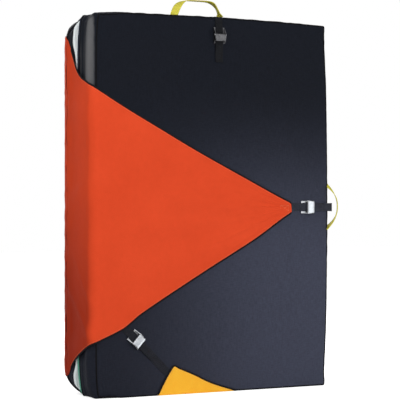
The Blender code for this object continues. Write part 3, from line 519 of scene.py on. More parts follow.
def shader_group(name, build, **inputs):
    """A shader group with a place and these inputs; build gives its outputs by name, all plain values."""
    tree = bpy.data.node_groups.new(name, "ShaderNodeTree")
    tree.interface.new_socket(name="Place", in_out="INPUT", socket_type="NodeSocketVector")
    for socket, value in inputs.items():
        kind = "NodeSocketFloat" if isinstance(value, float) else "NodeSocketVector"
        tree.interface.new_socket(name=socket, in_out="INPUT", socket_type=kind).default_value = value
    results = build(tree, tree.nodes.new("NodeGroupInput").outputs)
    for socket in results:
        tree.interface.new_socket(name=socket, in_out="OUTPUT", socket_type="NodeSocketFloat")
    outside = tree.nodes.new("NodeGroupOutput")
    for socket, value in results.items():
        tree.links.new(value, outside.inputs[socket])
    return tree


def weave(tree, given):
    """Plain weave: two crossing sets of threads with a little unevenness."""
    x, y, z = put(tree, "SeparateXYZ", i0=given["Place"]).outputs
    turn = sums(tree, "DIVIDE", 2 * math.pi, given["Pitch"])
    warp = sums(tree, "SINE", sums(tree, "MULTIPLY", sums(tree, "ADD", x, y), turn))
    upright = sums(tree, "ADD", z, sums(tree, "SUBTRACT", x, y))
    weft = sums(tree, "SINE", sums(tree, "MULTIPLY", upright, turn))
    threads = sums(tree, "MULTIPLY", warp, weft)
    rough = sums(tree, "MULTIPLY", clouds(tree, given["Place"], 160.0, 2.0), given["Unevenness"])
    return {"Height": sums(tree, "ADD", threads, rough), "Mask": sums(tree, "MULTIPLY_ADD", threads, 0.5, 0.5)}


def ribs(tree, given):
    """Ribbed webbing: ribs along its length, crossed by slanting picks. Place is its own UV, in metres."""
    axes = put(tree, "SeparateXYZ", i0=given["Place"]).outputs
    turn = sums(tree, "DIVIDE", 2 * math.pi, given["Rib"])
    rib = sums(tree, "SINE", sums(tree, "MULTIPLY", axes[0], turn))
    slant = sums(tree, "MULTIPLY_ADD", sums(tree, "ABSOLUTE", rib), 0.0008, axes[1])
    pick = sums(tree, "SINE", sums(tree, "MULTIPLY", slant, turn))
    height = sums(tree, "MULTIPLY_ADD", pick, 0.45, rib)
    return {"Height": height, "Mask": sums(tree, "MULTIPLY_ADD", height, 0.33, 0.5)}


def mottle(tree, given):
    """Slow changes of tone, as in handled cloth: broad clouds with finer rubbed marks in them."""
    broad = clouds(tree, given["Place"], given["Broad"], 3.0, 0.55)
    fine = clouds(tree, given["Place"], given["Fine"], 4.0, 0.6)
    mixed = blend_value(tree, given["Share"], broad, fine)
    return {"Mask": ramp(tree, mixed, 0.32, 0.68, smooth=False), "Height": mixed}


def brushed(tree, given):
    """Fine scratches drawn out along one axis, for brushed and rubbed metal."""
    lines = clouds(tree, stretched(tree, given["Place"], given["Stretch"]), 1.0, 3.0)
    both = sums(tree, "MULTIPLY", lines, clouds(tree, given["Place"], 90.0, 3.0))
    return {"Mask": sums(tree, "MULTIPLY", both, 2.2), "Height": lines}


def heather(tree, given):
    """Flecks drawn out along the threads, across and upwards, as in yarn of mixed tones."""
    across, upwards = [
        clouds(tree, stretched(tree, given["Place"], by), given["Fleck"], 2.0)
        for by in ((1.0, 1.0, 0.16), (0.16, 0.16, 1.0))
    ]
    both = sums(tree, "MULTIPLY", sums(tree, "ADD", across, upwards), 0.5)
    return {"Mask": ramp(tree, both, 0.36, 0.64, smooth=False)}


# Painted light and shade on the cloth: heights and depths between which the painted sheen, the painted wall highlights
# and the painted shade set in
SHEEN_HEIGHTS, WALL_HEIGHTS, SHADE_HEIGHTS = (0.93, 0.36), (0.3, 1.05), (0.68, 0.15)
SHADE_DEPTHS, SHADE_START, SHADE_EDGE = (-0.09, 0.13), (-0.121, -0.09), (LEFT + 0.12, LEFT + 0.02)
RIDGE_PITCH, RIDGE_START = 0.069, 0.095


def painted_light_masks(tree, given):
    """Painted light and shade on the cloth: a painted sheen, paler towards the floor and the right and darker at the
    top left; painted highlights in bands on the left wall, stronger higher up; painted shade on the left side, darker
    towards the floor and the back.
    """
    x, y, z = put(tree, "SeparateXYZ", i0=given["Place"]).outputs
    cloud = clouds(tree, given["Place"], 3.0, 3.0)
    height = sums(tree, "MULTIPLY_ADD", sums(tree, "SUBTRACT", cloud, 0.5), 0.12, z)
    # Painted sheen: paler towards the floor and towards the right.
    mask = sums(tree, "MULTIPLY", ramp(tree, height, *SHEEN_HEIGHTS), ramp(tree, x, LEFT, 0.25, 0.16))
    # Painted highlights in bands along the left wall, stronger higher up.
    high_wall = sums(tree, "MULTIPLY", ramp(tree, x, LEFT + 0.001, LEFT - 0.005), ramp(tree, height, *WALL_HEIGHTS))
    shift = 2 * math.pi * RIDGE_START / RIDGE_PITCH + math.pi / 2
    turn = sums(tree, "MULTIPLY_ADD", y, 2 * math.pi / RIDGE_PITCH, shift)
    wall = sums(tree, "MULTIPLY", high_wall, sums(tree, "MULTIPLY_ADD", sums(tree, "SINE", turn), 0.42, 0.58))
    # Painted shade on the left side: darker towards the floor and towards the back.
    painted_shade = sums(tree, "ADD", ramp(tree, height, *SHADE_HEIGHTS, 0, 0.85), ramp(tree, y, *SHADE_DEPTHS, 0, 0.35))
    painted_shade = sums(tree, "MINIMUM", sums(tree, "MULTIPLY", painted_shade, ramp(tree, y, *SHADE_START)), 1.0)
    return {"Mask": mask, "Wall": wall, "Soil": sums(tree, "MULTIPLY", painted_shade, ramp(tree, x, *SHADE_EDGE))}


WEAVE = shader_group("woven_threads", weave, Pitch=0.001, Unevenness=0.4)
RIBS = shader_group("webbing_ribs", ribs, Rib=0.0016)
MOTTLE = shader_group("handled_tone", mottle, Broad=5.0, Fine=60.0, Share=0.35)
BRUSHED = shader_group("brushed_lines", brushed, Stretch=(300.0, 300.0, 4000.0))
HEATHER = shader_group("heathered_yarn", heather, Fleck=420.0)
PAINTED_LIGHT = shader_group("painted_light_and_shade", painted_light_masks)


WEAVE_DEPTH = 0.0003


def start_material(name, roughness, **sockets):
    """A new material with its tree and its shader's inputs."""
    material = bpy.data.materials.new(name)
    material.use_nodes = True
    tree = material.node_tree
    shader = tree.nodes["Principled BSDF"].inputs
    shader["Roughness"].default_value = roughness
    for key, value in sockets.items():
        shader[key.replace("_", " ")].default_value = value
    return material, tree, shader


def object_place(tree):
    """The place on a piece, in metres, that patterns are laid out on."""
    return put(tree, "TexCoord").outputs["Object"]


def finish_surface(tree, shader, colour, *heights):
    """Link the colour and a chain of Bump nodes: each height has its strength and its depth in metres."""
    tree.links.new(colour, shader["Base Color"])
    links = {}
    for height, strength, depth in heights:
        node = put(tree, "Bump", Strength=strength, Distance=depth, Height=height, **links)
        links = {"Normal": node.outputs[0]}
    tree.links.new(links["Normal"], shader["Normal"])


def cloth_material(
    name, dark, light, pitch=0.0011, roughness=0.8, thread_bump=0.25, broad=5.0, flecks=0.0, specular=0.08, painted_tones=None,
):
    """Woven cloth on object coordinates: slow tone, flecked yarn and the weave itself."""
    material, tree, shader = start_material(name, roughness, Specular_IOR_Level=specular)
    place = object_place(tree)
    threads = use(tree, WEAVE, Place=place, Pitch=pitch)
    tone = use(tree, MOTTLE, Place=place, Broad=broad)
    mask = blend_value(tree, flecks, tone["Mask"], use(tree, HEATHER, Place=place)["Mask"])
    lit = blend_colour(tree, mask, dark, light)
    # Painted light and shade where given: a painted sheen by the first mask, then a painted highlight or painted shade
    # by the named mask.
    if painted_tones:
        painted_masks = use(tree, PAINTED_LIGHT, Place=place)
        lit = blend_colour(tree, painted_masks["Mask"], lit, blend_colour(tree, mask, *painted_tones[:2]))
        lit = blend_colour(tree, painted_masks[painted_tones[3]], lit, painted_tones[2])
    between = sums(tree, "MULTIPLY", threads["Mask"], 0.25)
    shaded = blend_colour(tree, between, lit, tuple(c * 0.55 for c in dark))
    rough = ramp(tree, tone["Mask"], 0, 1, roughness - 0.06, roughness + 0.06, smooth=False)
    tree.links.new(rough, shader["Roughness"])
    finish_surface(tree, shader, shaded, (tone["Height"], 0.5, 0.0012), (threads["Height"], thread_bump, WEAVE_DEPTH))
    return material


def webbing_material(name, dark, light, rib=0.0016, painted_tones=None):
    """Ribbed webbing on the band's own UV map, which is in metres."""
    material, tree, shader = start_material(name, 0.75, Specular_IOR_Level=0.12)
    spot = object_place(tree)
    rows = use(tree, RIBS, Place=put(tree, "UVMap").outputs[0], Rib=rib)
    tone = use(tree, MOTTLE, Place=spot, Broad=30.0, Fine=300.0)["Mask"]
    lit = blend_colour(tree, tone, dark, light)
    # Painted sheen where given: paler towards the floor and the right.
    if painted_tones:
        lit = blend_colour(tree, use(tree, PAINTED_LIGHT, Place=spot)["Mask"], lit, blend_colour(tree, tone, *painted_tones))
    shaded = blend_colour(tree, rows["Mask"], tuple(c * 0.5 for c in dark), lit)
    finish_surface(tree, shader, shaded, (rows["Height"], 0.6, 0.0004))
    return material


def metal_material(name, dark, light, stretch, roughness=0.32):
    """Brushed metal, rougher where its lines are paler."""
    material, tree, shader = start_material(name, roughness, Metallic=1.0)
    lines = use(tree, BRUSHED, Place=object_place(tree), Stretch=stretch)
    rough = ramp(tree, lines["Mask"], 0, 1, roughness - 0.1, roughness + 0.15, smooth=False)
    tree.links.new(rough, shader["Roughness"])
    finish_surface(tree, shader, blend_colour(tree, lines["Mask"], dark, light), (lines["Height"], 0.3, 0.0001))
    return material


def plastic_material(name, colour):
    """Moulded plastic with a fine grain."""
    material, tree, shader = start_material(name, 0.45)
    tone = use(tree, MOTTLE, Place=object_place(tree), Broad=60.0, Fine=900.0, Share=0.5)
    pale = tuple(c * 1.6 + 0.004 for c in colour)
    finish_surface(tree, shader, blend_colour(tree, tone["Mask"], colour, pale), (tone["Height"], 0.25, 0.0002))
    return material


def panel_material(name, low, high, change):
    """Landing cloth whose (dark, light) colours change at a height: both parts are woven and handled alike."""
    material, tree, shader = start_material(name, 0.75, Specular_IOR_Level=0.1)
    place = object_place(tree)
    height = put(tree, "SeparateXYZ", i0=place).outputs[2]
    above = ramp(tree, height, change - 0.001, change + 0.001, smooth=False)
    threads = use(tree, WEAVE, Place=place, Pitch=0.0012)
    tone = use(tree, MOTTLE, Place=place, Broad=12.0)
    low, high = [blend_colour(tree, tone["Mask"], *colours) for colours in (low, high)]
    shaded = blend_colour(tree, above, low, high)
    finish_surface(tree, shader, shaded, (tone["Height"], 0.4, 0.001), (threads["Height"], 0.3, WEAVE_DEPTH))
    return material


ORANGE = ((0.67, 0.062, 0.018), (0.75, 0.074, 0.023))
WHITE = ((0.8, 0.86, 0.87), (0.89, 0.94, 0.95))
# The cover's painted sheen, paler towards the floor and the right, and its painted highlights on the left wall.
COVER = cloth_material(
    "cover_cloth", (0.0052, 0.0064, 0.0102), (0.0095, 0.0114, 0.0178), roughness=0.72, flecks=0.75, specular=0.06,
    painted_tones=((0.041, 0.045, 0.069), (0.062, 0.068, 0.101), (0.14, 0.14, 0.145), "Wall"),
)
# The flap's painted shade on its left side, darker towards the floor and the back.
FLAP = cloth_material(
    "flap_cloth", *ORANGE, roughness=0.66, broad=7.0, specular=0.03, painted_tones=(*ORANGE, (0.32, 0.026, 0.009), "Soil"),
)
ANCHOR = cloth_material(
    "anchor_cloth", (1.0, 0.48, 0.032), (1.0, 0.55, 0.046), roughness=0.66, broad=20.0, specular=0.04,
)
BINDING = cloth_material("binding_tape", (0.006, 0.006, 0.007), (0.014, 0.014, 0.016), 0.0009, broad=40.0)
PIPING_CLOTH = cloth_material("piping_cloth", (0.003, 0.003, 0.004), (0.007, 0.007, 0.008), 0.0009, broad=40.0)
PADDING = cloth_material(
    "strap_padding", (0.012, 0.012, 0.014), (0.024, 0.024, 0.028), 0.0022, thread_bump=0.6, broad=25.0,
)
# The webbing's painted sheen, paler towards the floor and the right.
BLACK_WEBBING = webbing_material(
    "black_webbing", (0.005, 0.0055, 0.0075), (0.014, 0.015, 0.019),
    painted_tones=((0.042, 0.047, 0.068), (0.088, 0.096, 0.13)),
)
YELLOW_WEBBING = webbing_material("yellow_webbing", (0.86, 0.77, 0.075), (1.0, 0.92, 0.15), 0.0014)
STEEL = metal_material("buckle_metal", (0.24, 0.26, 0.28), (0.5, 0.52, 0.55), (4000.0, 4000.0, 300.0), 0.42)
FRAME_STEEL = metal_material("buckle_frame_metal", (0.1, 0.105, 0.11), (0.36, 0.37, 0.39), (4000.0, 4000.0, 300.0))
# A darker copy of the buckle metal for the top buckle, which is the same buckle as the others: painted shade.
SHADED_STEEL = metal_material("shaded_buckle_metal", (0.025, 0.025, 0.028), (0.2, 0.2, 0.21), (4000.0, 300.0, 4000.0))
PIN = metal_material("pin_metal", (0.3, 0.3, 0.32), (0.62, 0.62, 0.64), (900.0, 900.0, 900.0), 0.38)
PLASTIC = plastic_material("buckle_plastic", (0.01, 0.01, 0.011))
THREAD = cloth_material("sewing_thread", (0.02, 0.02, 0.022), (0.05, 0.05, 0.055), 0.0005, broad=80.0)
HEM_THREAD = cloth_material("flap_thread", (0.72, 0.15, 0.06), (0.82, 0.2, 0.09), 0.0005, broad=80.0)
ANCHOR_THREAD = cloth_material("anchor_thread", (0.95, 0.55, 0.12), (1.0, 0.62, 0.16), 0.0005, broad=80.0)
BACK_PANEL = panel_material("back_panel_cloth", WHITE, WHITE, 0.5)
FRONT_PANEL = panel_material(
    "front_panel_cloth", ((0.1, 0.33, 0.24), (0.14, 0.4, 0.3)), ((0.012, 0.015, 0.026), (0.02, 0.026, 0.04)), 0.33,
)


# Grids, tubes and ribbons that the pieces start from


def box_grid(cells):
    """A closed box about the origin, one metre a side, cut into cells along each axis."""
    bpy.ops.object.select_all(action="DESELECT")
    bpy.ops.mesh.primitive_cube_add(size=1, location=(0, 0, 0))
    obj = bpy.context.object
    for axis, count in enumerate(cells):
        bpy.ops.object.mode_set(mode="EDIT")
        bpy.ops.mesh.select_mode(type="EDGE")
        bpy.ops.mesh.select_all(action="DESELECT")
        bpy.ops.object.mode_set(mode="OBJECT")
        points = coordinates(obj)
        for edge in obj.data.edges:
            run = points[edge.vertices[1]] - points[edge.vertices[0]]
            edge.select = bool(abs(run[axis]) > 1e-6)
        bpy.ops.object.mode_set(mode="EDIT")
        bpy.ops.mesh.subdivide(number_cuts=count - 1)
        bpy.ops.object.mode_set(mode="OBJECT")
    return obj


def laid_grid(across, along, place, width, lengths):
    """A grid whose points are moved to place(share across, row number); its UV map is in metres."""
    bpy.ops.object.select_all(action="DESELECT")
    bpy.ops.mesh.primitive_grid_add(x_subdivisions=across, y_subdivisions=along, size=1, location=(0, 0, 0))
    obj = bpy.context.object
    set_coordinates(obj, [place(x + 0.5, round((y + 0.5) * along)) for x, y, _ in coordinates(obj)])
    for corner in obj.data.uv_layers[0].data:
        corner.uv = (corner.uv[0] * width, lengths[round(corner.uv[1] * along)])
    return obj


def running(points):
    """Length run along a line up to each of its points."""
    lengths = [0.0]
    for a, b in zip(points, points[1:]):
        lengths.append(lengths[-1] + (b - a).length)
    return lengths


def spaced(points, outs, step):
    """The same line with even steps, and its outward directions there."""
    lengths = running(points)
    count = max(2, round(lengths[-1] / step))
    places = np.linspace(0, lengths[-1], count + 1)
    columns = [
        np.interp(places, lengths, [v[axis] for v in vectors]) for vectors in (points, outs) for axis in range(3)
    ]
    table = np.array(columns).T
    return [Vector(row[:3]) for row in table], [Vector(row[3:]).normalized() for row in table]


def soften(points, steps=5):
    """Round the corners of a webbing's line with short curves."""
    line = [Vector(points[0])]
    for before, here, after in zip(points, points[1:], points[2:]):
        reach = min(WEBBING_BEND, (here - before).length * 0.49, (after - here).length * 0.49)
        start = here + (before - here).normalized() * reach
        end = here + (after - here).normalized() * reach
        for step in range(steps + 1):
            t = step / steps
            line.append(start * (1 - t) ** 2 + here * (2 * t * (1 - t)) + end * t**2)
    line.append(Vector(points[-1]))
    return line


def surface_tree(*pieces):
    """One search tree over finished pieces, whose objects sit at the origin."""
    points, faces = [], []
    for piece in pieces:
        start = len(points)
        points += [v.co.copy() for v in piece.data.vertices]
        faces += [[start + i for i in polygon.vertices] for polygon in piece.data.polygons]
    return BVHTree.FromPolygons(points, faces)


def keep_off(obj, tree, gap, reach=0.02):
    """Push the points of a piece out of what it lies on, to at least the gap."""
    points = coordinates(obj)
    for index, place in enumerate(points):
        at = Vector(place)
        near, normal, _, _ = tree.find_nearest(at, reach)
        if near is None:
            continue
        out = (at - near).dot(normal)
        if out < gap:
            points[index] = at + normal * (gap - out)
    set_coordinates(obj, points)


def thicken(obj, thickness, outwards=None, rim=0.0004):
    """Give a laid cloth its thickness: on the side that outwards points to, or half on each side."""
    middle = obj.data.polygons[len(obj.data.polygons) // 2]
    if outwards and middle.normal.dot(outwards) < 0:
        in_edit_mode(obj, (bpy.ops.mesh.flip_normals, {}))
    offset = 1 if outwards else 0
    apply_modifier(obj, "SOLIDIFY", thickness=thickness, offset=offset, use_even_offset=bool(outwards))
    if rim:
        apply_modifier(obj, "BEVEL", width=rim, segments=2, limit_method="ANGLE", angle_limit=math.radians(60))
    turn_out(obj)
    bpy.ops.object.shade_smooth_by_angle(angle=math.radians(50))


def laid_cloth(name, across, places, place, width, under, thickness, outwards, material):
    """A sheet laid through place(share across, place along) and kept off what is under it, a (tree, gap) pair."""
    obj = laid_grid(across, len(places) - 1, lambda u, row: place(u, places[row]), width, places)
    keep_off(obj, *under)
    thicken(obj, thickness, outwards, 0)
    return settle(obj, name, material)


def ribbon(name, points, sides, width, thickness, material, over=None):
    """A flat band along points; sides are its width directions. It is kept off what it lies over."""
    def place(u, row):
        return points[row] + sides[row] * ((u - 0.5) * width)

    obj = laid_grid(TAPE_CELLS, len(points) - 1, place, width, running(points))
    if over:
        keep_off(obj, over, thickness / 2 + SEAT_GAP)
    thicken(obj, thickness)
    return settle(obj, name, material)


def tube(points, outs, radius, sides, closed=False):
    """A round cord through points; outs are the directions off the surface that it lies on."""
    count = len(points) - 1

    def place(u, row):
        before = points[row - 1] if row or closed else points[row]
        after = points[min(row + 1, count)]
        if closed and row in (0, count):
            before, after = points[count - 1], points[1]
        way = (after - before).normalized()
        side = way.cross(outs[row]).normalized()
        out = side.cross(way)
        turn = 2 * math.pi * u
        return points[row] + (side * math.cos(turn) + out * math.sin(turn)) * radius

    obj = laid_grid(sides, count, place, 2 * math.pi * radius, running(points))
    ends = [] if closed else [(bpy.ops.mesh.fill_holes, {"sides": 0})]
    in_edit_mode(obj, (bpy.ops.mesh.remove_doubles, {"threshold": 0.000002}), *ends)
    turn_out(obj)
    bpy.ops.object.shade_smooth()
    return obj


def stitches(name, lines, material):
    """Rows of sewing: each line is its points with their outward directions. The thread dips into the cloth."""
    rows = []
    for points, outs in lines:
        points, outs = spaced(points, outs, STITCH_PITCH / 4)
        waves = [1.3 * abs(math.sin(math.pi * step / 4)) - 0.45 for step in range(len(points))]
        raised = [point + out * (THREAD_RADIUS * wave) for point, out, wave in zip(points, outs, waves)]
        rows.append(tube(raised, outs, THREAD_RADIUS, THREAD_SIDES))
    if len(rows) > 1:
        only(rows[0])
        for row in rows:
            row.select_set(True)
        bpy.ops.object.join()
    return settle(rows[0], name, material)


def box_stitch(centre, along, across, out, length, width=SEWN_BOX):
    """The lines of a sewn box with a cross in it."""
    a, b = along * (length / 2), across * (width / 2)
    corners = [centre - a - b, centre + a - b, centre + a + b, centre - a + b]
    runs = [corners + corners[:1], [corners[0], corners[2]], [corners[1], corners[3]]]
    return [(run, [out] * len(run)) for run in runs]


# Stuffed covers and landing panels


def blow_up(obj, held):
    """Blow a closed cloth up a little, held at its seams, and keep how far it may move."""
    start = coordinates(obj)
    group = obj.vertex_groups.new(name="held")
    for index, weight in held(start):
        group.add([index], weight, "REPLACE")
    only(obj)
    bpy.ops.object.modifier_add(type="CLOTH")
    cloth = obj.modifiers[-1].settings
    cloth.quality = 4
    cloth.mass = 0.3
    cloth.tension_stiffness = cloth.compression_stiffness = 12
    cloth.shear_stiffness = 4
    cloth.bending_stiffness = 0.6
    cloth.use_pressure = True
    cloth.uniform_pressure_force = BLOW_PRESSURE
    cloth.shrink_min = -0.012
    cloth.effector_weights.gravity = 0
    cloth.vertex_group_mass = group.name
    obj.modifiers[-1].point_cache.frame_end = BLOW_FRAMES
    for step in range(1, BLOW_FRAMES + 1):
        bpy.context.scene.frame_set(step)
    move = coordinates(obj.evaluated_get(bpy.context.evaluated_depsgraph_get())) - start
    length = np.linalg.norm(move, axis=1, keepdims=True)
    move *= np.minimum(1, WALL_SLACK / np.maximum(length, 1e-9))
    half = np.sign(start[:, 1])
    move[:, 1] = half * np.clip(half * move[:, 1], -FACE_DIP, FACE_SLACK)
    obj.modifiers.clear()
    obj.vertex_groups.clear()
    bpy.context.scene.frame_set(1)
    set_coordinates(obj, start + move)


def seams_held(half):
    """Hold the rim, the foot and the outer seam where the walls meet the face."""
    seam_depth = HALF_DEPTH - (FRONT_SEAM_RADIUS if half == FRONT else BACK_EDGE_RADIUS) * 0.35

    def held(points):
        for index, (x, y, z) in enumerate(points):
            near_wall = min(x - LEFT, -LEFT + 0.01 - x, z + 0.002, PAD_HEIGHT - z) < 0.018
            if abs(y) < RIM_DEPTH + 0.004 or z < 0.004:
                yield index, 1.0
            elif near_wall and abs(y) > seam_depth:
                yield index, SEAM_HOLD
    return held


def block_point(half, u, depth, w, folds=1.0):
    """A point of the stuffed half from its gathered shares across and upwards, and its depth."""
    x = LEFT + WALL_TO_WALL * even_out(u, CELL_GATHER)
    return stuffed_point(half, x, depth, FLOOR_TO_TOP * even_out(w, CELL_GATHER), folds)


def make_cover(name, half):
    """One stuffed half: swelled, folded at its walls and blown up as cloth."""
    obj = box_grid(COVER_CELLS)
    depth = HALF_DEPTH - RIM_DEPTH
    set_coordinates(obj, [
        block_point(half, u, RIM_DEPTH + depth * even_out(v, CELL_GATHER), w) for u, v, w in coordinates(obj) + 0.5
    ])
    turn_out(obj)
    blow_up(obj, seams_held(half))
    points = coordinates(obj)
    points[:, 2] = np.maximum(points[:, 2], 0)
    set_coordinates(obj, points)
    return finish_padded(obj, name, COVER)


def make_landing_panel(name, half, material):
    """The landing cloth and its thin top foam, seen as a band between the covers."""
    obj = box_grid(PANEL_CELLS)
    shaped = []
    for u, v, w in coordinates(obj) + 0.5:
        depth = FOLD_GAP / 2 + (RIM_DEPTH - FOLD_GAP) * even_out(v, CELL_GATHER)
        point = block_point(half, u, depth, w, 0)
        inset = PANEL_INSET + PANEL_SOFTNESS * (1 - (1 - abs(2 * v - 1) ** 4) ** 0.25)
        wide = 1 - 2 * inset / WALL_TO_WALL
        tall = 1 - 2 * inset / FLOOR_TO_TOP
        ripple = PANEL_RIPPLE * noise.noise(Vector((point.x * 20, point.y * 90, point.z * 25)))
        level = 2 * point.z / FLOOR_TO_TOP - 1
        (top, top_run), (foot, foot_run), (end, end_run) = PANEL_FREE_TOP, PANEL_FREE_FOOT, PANEL_HELD_END
        freed = eased((level - top) / top_run) + eased((-level - foot) / foot_run)
        freed *= eased((end - abs(level)) / end_run) if half == BACK and point.x < 0 else 0
        x = (point.x - 0.001) * wide + ripple * (1 if point.x < 0 else -1) - PANEL_SWELL * freed * (2 * u - 1) ** 6
        shaped.append((x, point.y, FLOOR_TO_TOP / 2 + (point.z - FLOOR_TO_TOP / 2) * tall))
    set_coordinates(obj, shaped)
    turn_out(obj)
    return finish_padded(obj, name, material)


def seam_ring(half, depth, count):
    """Points round one half at a depth of the plain block, evenly spread, with the ring closed."""
    shift = SEAM_SHIFT if half == FRONT and depth == HALF_DEPTH else 0
    corners = [(0, 0), (0, 1), (1, 1), (1, 0), (0, 0)]
    ring = []
    for (a, b), (c, d) in zip(corners, corners[1:]):
        steps = round(count * (WALL_TO_WALL if a != c else FLOOR_TO_TOP) / (WALL_TO_WALL + FLOOR_TO_TOP) / 2)
        for step in range(steps):
            share = even_out(step / steps, 0.85)
            x = LEFT + shift + (WALL_TO_WALL - shift) * (a + (c - a) * share)
            ring.append(stuffed_point(half, x, depth, FLOOR_TO_TOP * (b + (d - b) * share), 0))
    return ring + ring[:1]


def make_piping(name, half, depth, radius):
    """The corded seam round a half, lying on the cover."""
    points, outs = [], []
    for place in seam_ring(half, depth, 520):
        near, normal, _, _ = PAD_SURFACE.find_nearest(place)
        point = near + normal * (radius * 0.35)
        point.z = max(point.z, radius)
        points.append(point)
        outs.append(normal)
    return settle(tube(points, outs, radius, CORD_SIDES, closed=True), name, PIPING_CLOTH)


covers = []
for word, half in (("back", BACK), ("front", FRONT)):
    covers.append(make_cover(f"{word}_cover_stuffed", half))
    dress(covers[-1], f"{word}_half", "cover_cloth", f"{word}_cover", f"{word}_soft_foam", f"{word}_firm_foam")
for word, half, cloth in (("back", BACK, BACK_PANEL), ("front", FRONT, FRONT_PANEL)):
    panel = make_landing_panel(f"{word}_panel_stuffed", half, cloth)
    dress(panel, f"{word}_half", "landing_cloth", f"{word}_landing_panel")
back_cover, front_cover = covers
PAD_SURFACE = surface_tree(front_cover, back_cover)
pipings = []
for word, seam, half, depth, radius in (
    ("front", "face", FRONT, HALF_DEPTH, PIPING),
    ("front", "rim", FRONT, RIM_DEPTH + RIM_PIPING, RIM_PIPING),
    ("back", "rim", BACK, RIM_DEPTH + RIM_PIPING, RIM_PIPING),
    ("back", "seam", BACK, HALF_DEPTH - BACK_EDGE_RADIUS, PIPING),
):
    pipings.append(make_piping(f"{word}_{seam}_piping", half, depth, radius))
    dress(pipings[-1], f"{word}_half", "cover_cloth")
DRESSED_SURFACE = surface_tree(front_cover, back_cover, *pipings)


def face_place(half, x, z, lift=0.0):
    """The point of a half's outer face at x and z, raised off it by lift."""
    level = 2 * z / FLOOR_TO_TOP - 1
    for _ in range(2):
        side = 2 * (x - LEFT) / (WALL_TO_WALL + SIDE_BULGE * (1 - level**2)) - 1
        level = 2 * z / (FLOOR_TO_TOP + TOP_CROWN * (1 - side**2)) - 1
    crown = FACE_CROWN * (1 - side**2) * (1 - level**2)
    return Vector((x, half * (HALF_DEPTH + crown + lift), z))


def snapped(point, out, lift, reach=0.05):
    """Where a line against the outward direction meets the covers, raised by lift."""
    hit, _, _, _ = PAD_SURFACE.ray_cast(point + out * reach, -out, 3 * reach)
    return (hit or point) + out * lift


# Edges of cloths: a surface gives a point and its outward direction at (place along, height)


def edge_place(surface, edge, t, span, reach, side):
    """The point of a surface at a distance in from its edge line, with its direction off the surface."""
    near, far = max(t - 0.003, span[0]), min(t + 0.003, span[1])
    way = (Vector((far, edge(far))) - Vector((near, edge(near)))).normalized()
    p = min(max(t - way.y * reach * side, span[0]), span[1])
    return surface(p, edge(t) + way.x * reach * side)


def flat_area(heights, places):
    """Area of a cloth that lies flat, from its height at each place along it."""
    return float(np.trapz(heights, places))


def edge_tape(name, surface, edge, span, side, count, lift, cloth):
    """A narrow folded tape along one edge of a cloth, lying over the cloth's edge."""
    def place(u, t):
        reach = -BINDING_IN + (BINDING_IN + BINDING_OUT) * u
        point, out = edge_place(surface, edge, t, span, reach, side)
        return point + out * lift * (1 - (2 * u - 1) ** 4)

    obj = laid_cloth(
        name, TAPE_CELLS, even_places(*span, count), place, BINDING_IN + BINDING_OUT,
        (surface_tree(cloth), SEAT_GAP), BINDING_TAPE, Vector((-0.5, -1, 0)), BINDING,
    )
    set_coordinates(obj, [(x, y, max(z, 0)) for x, y, z in coordinates(obj)])
    return obj


def hem_line(surface, edge, span, side, lift, count=200):
    """A line of sewing beside an edge: its points and outward directions."""
    pairs = [edge_place(surface, edge, t, span, -HEM_INSET, side) for t in even_places(*span, count)]
    return [point + out * lift for point, out in pairs], [out for _, out in pairs]


# Orange flap

ROLL_LENGTH = (FLAP_TURN + FLAP_LIFT) * math.pi / 2
TURN_START = FLAP_REACH - FLAP_TURN + LEAD_OUT
SIDE_START_Y = -HALF_DEPTH + FLAP_TURN
SIDE_END_Y = HALF_DEPTH - BACK_EDGE_RADIUS
FLAP_LENGTH = TURN_START + ROLL_LENGTH + SIDE_END_Y - SIDE_START_Y
FLAP_TAUT = (
    (SIDE_START_Y, -LEAD_OUT), (-0.07, -0.0105), (-0.035, -0.0065), (RIM_DEPTH, 0.0015), (SIDE_END_Y, WALL_DRAW),
)


def flap_z(edge, p):
    """Height of the flap's upper or lower edge at a path place p, from the tip round to the back strip."""
    front, side = (FRONT_TOP, SIDE_TOP) if edge == "top" else (FRONT_LOW, SIDE_LOW)
    if p <= TURN_START:
        return along_curve(front, FLAP_REACH - p)
    wall = p - TURN_START - ROLL_LENGTH
    if wall <= 0:
        turned = 1 + 2 * wall / ROLL_LENGTH
        if turned < 0:
            return along_curve(front, -turned * FLAP_TURN - LEAD_OUT)
        return along_curve(side, turned * FLAP_TURN)
    return along_curve(side, FLAP_TURN + wall)


def flap_fold(p, z):
    """How far the cloth stands off in its drag folds at a path place and height."""
    slant = (z - FOLD_TIP_HEIGHT) / max(p, 0.02)
    fan = max(0.0, math.cos(slant * FAN_TURNS + 1.5 * noise.noise(Vector((slant * 4, 0.3, p * 2))))) ** 3
    fan *= FAN_FOLD * math.exp(-p / FAN_FADE) * eased(p / FAN_START)
    on_side = 1 / (1 + math.exp(-(p - TURN_START - 0.004) / 0.012))
    low = max(0.0, 1 - z / 0.5)
    line = z - 0.16 - 0.85 * (p - 0.72)
    drag = LOW_DRAG * low * bump(line, 0.05, DRAG_WIDTH)
    drag += MIDDLE_DRAG * low * bump(line, 0.15 + 0.3 * (p - 0.7), DRAG_WIDTH)
    drag += HIGH_DRAG * bump(z, 0.62 - 0.5 * (p - 0.72), HIGH_DRAG_WIDTH)
    pull = sum(out * bump(z + slope * (p - start), at, width) for out, slope, start, at, width in PULLS)
    spread = (z - FOLD_TIP_HEIGHT) * 15 / (0.35 + p)
    slow = SLOW_FOLD * (noise.noise(Vector((p * 2.6, spread, 1.7))) + 0.4)
    return fan + drag * on_side + pull * math.exp(-p / PULL_FADE) + max(slow, 0)


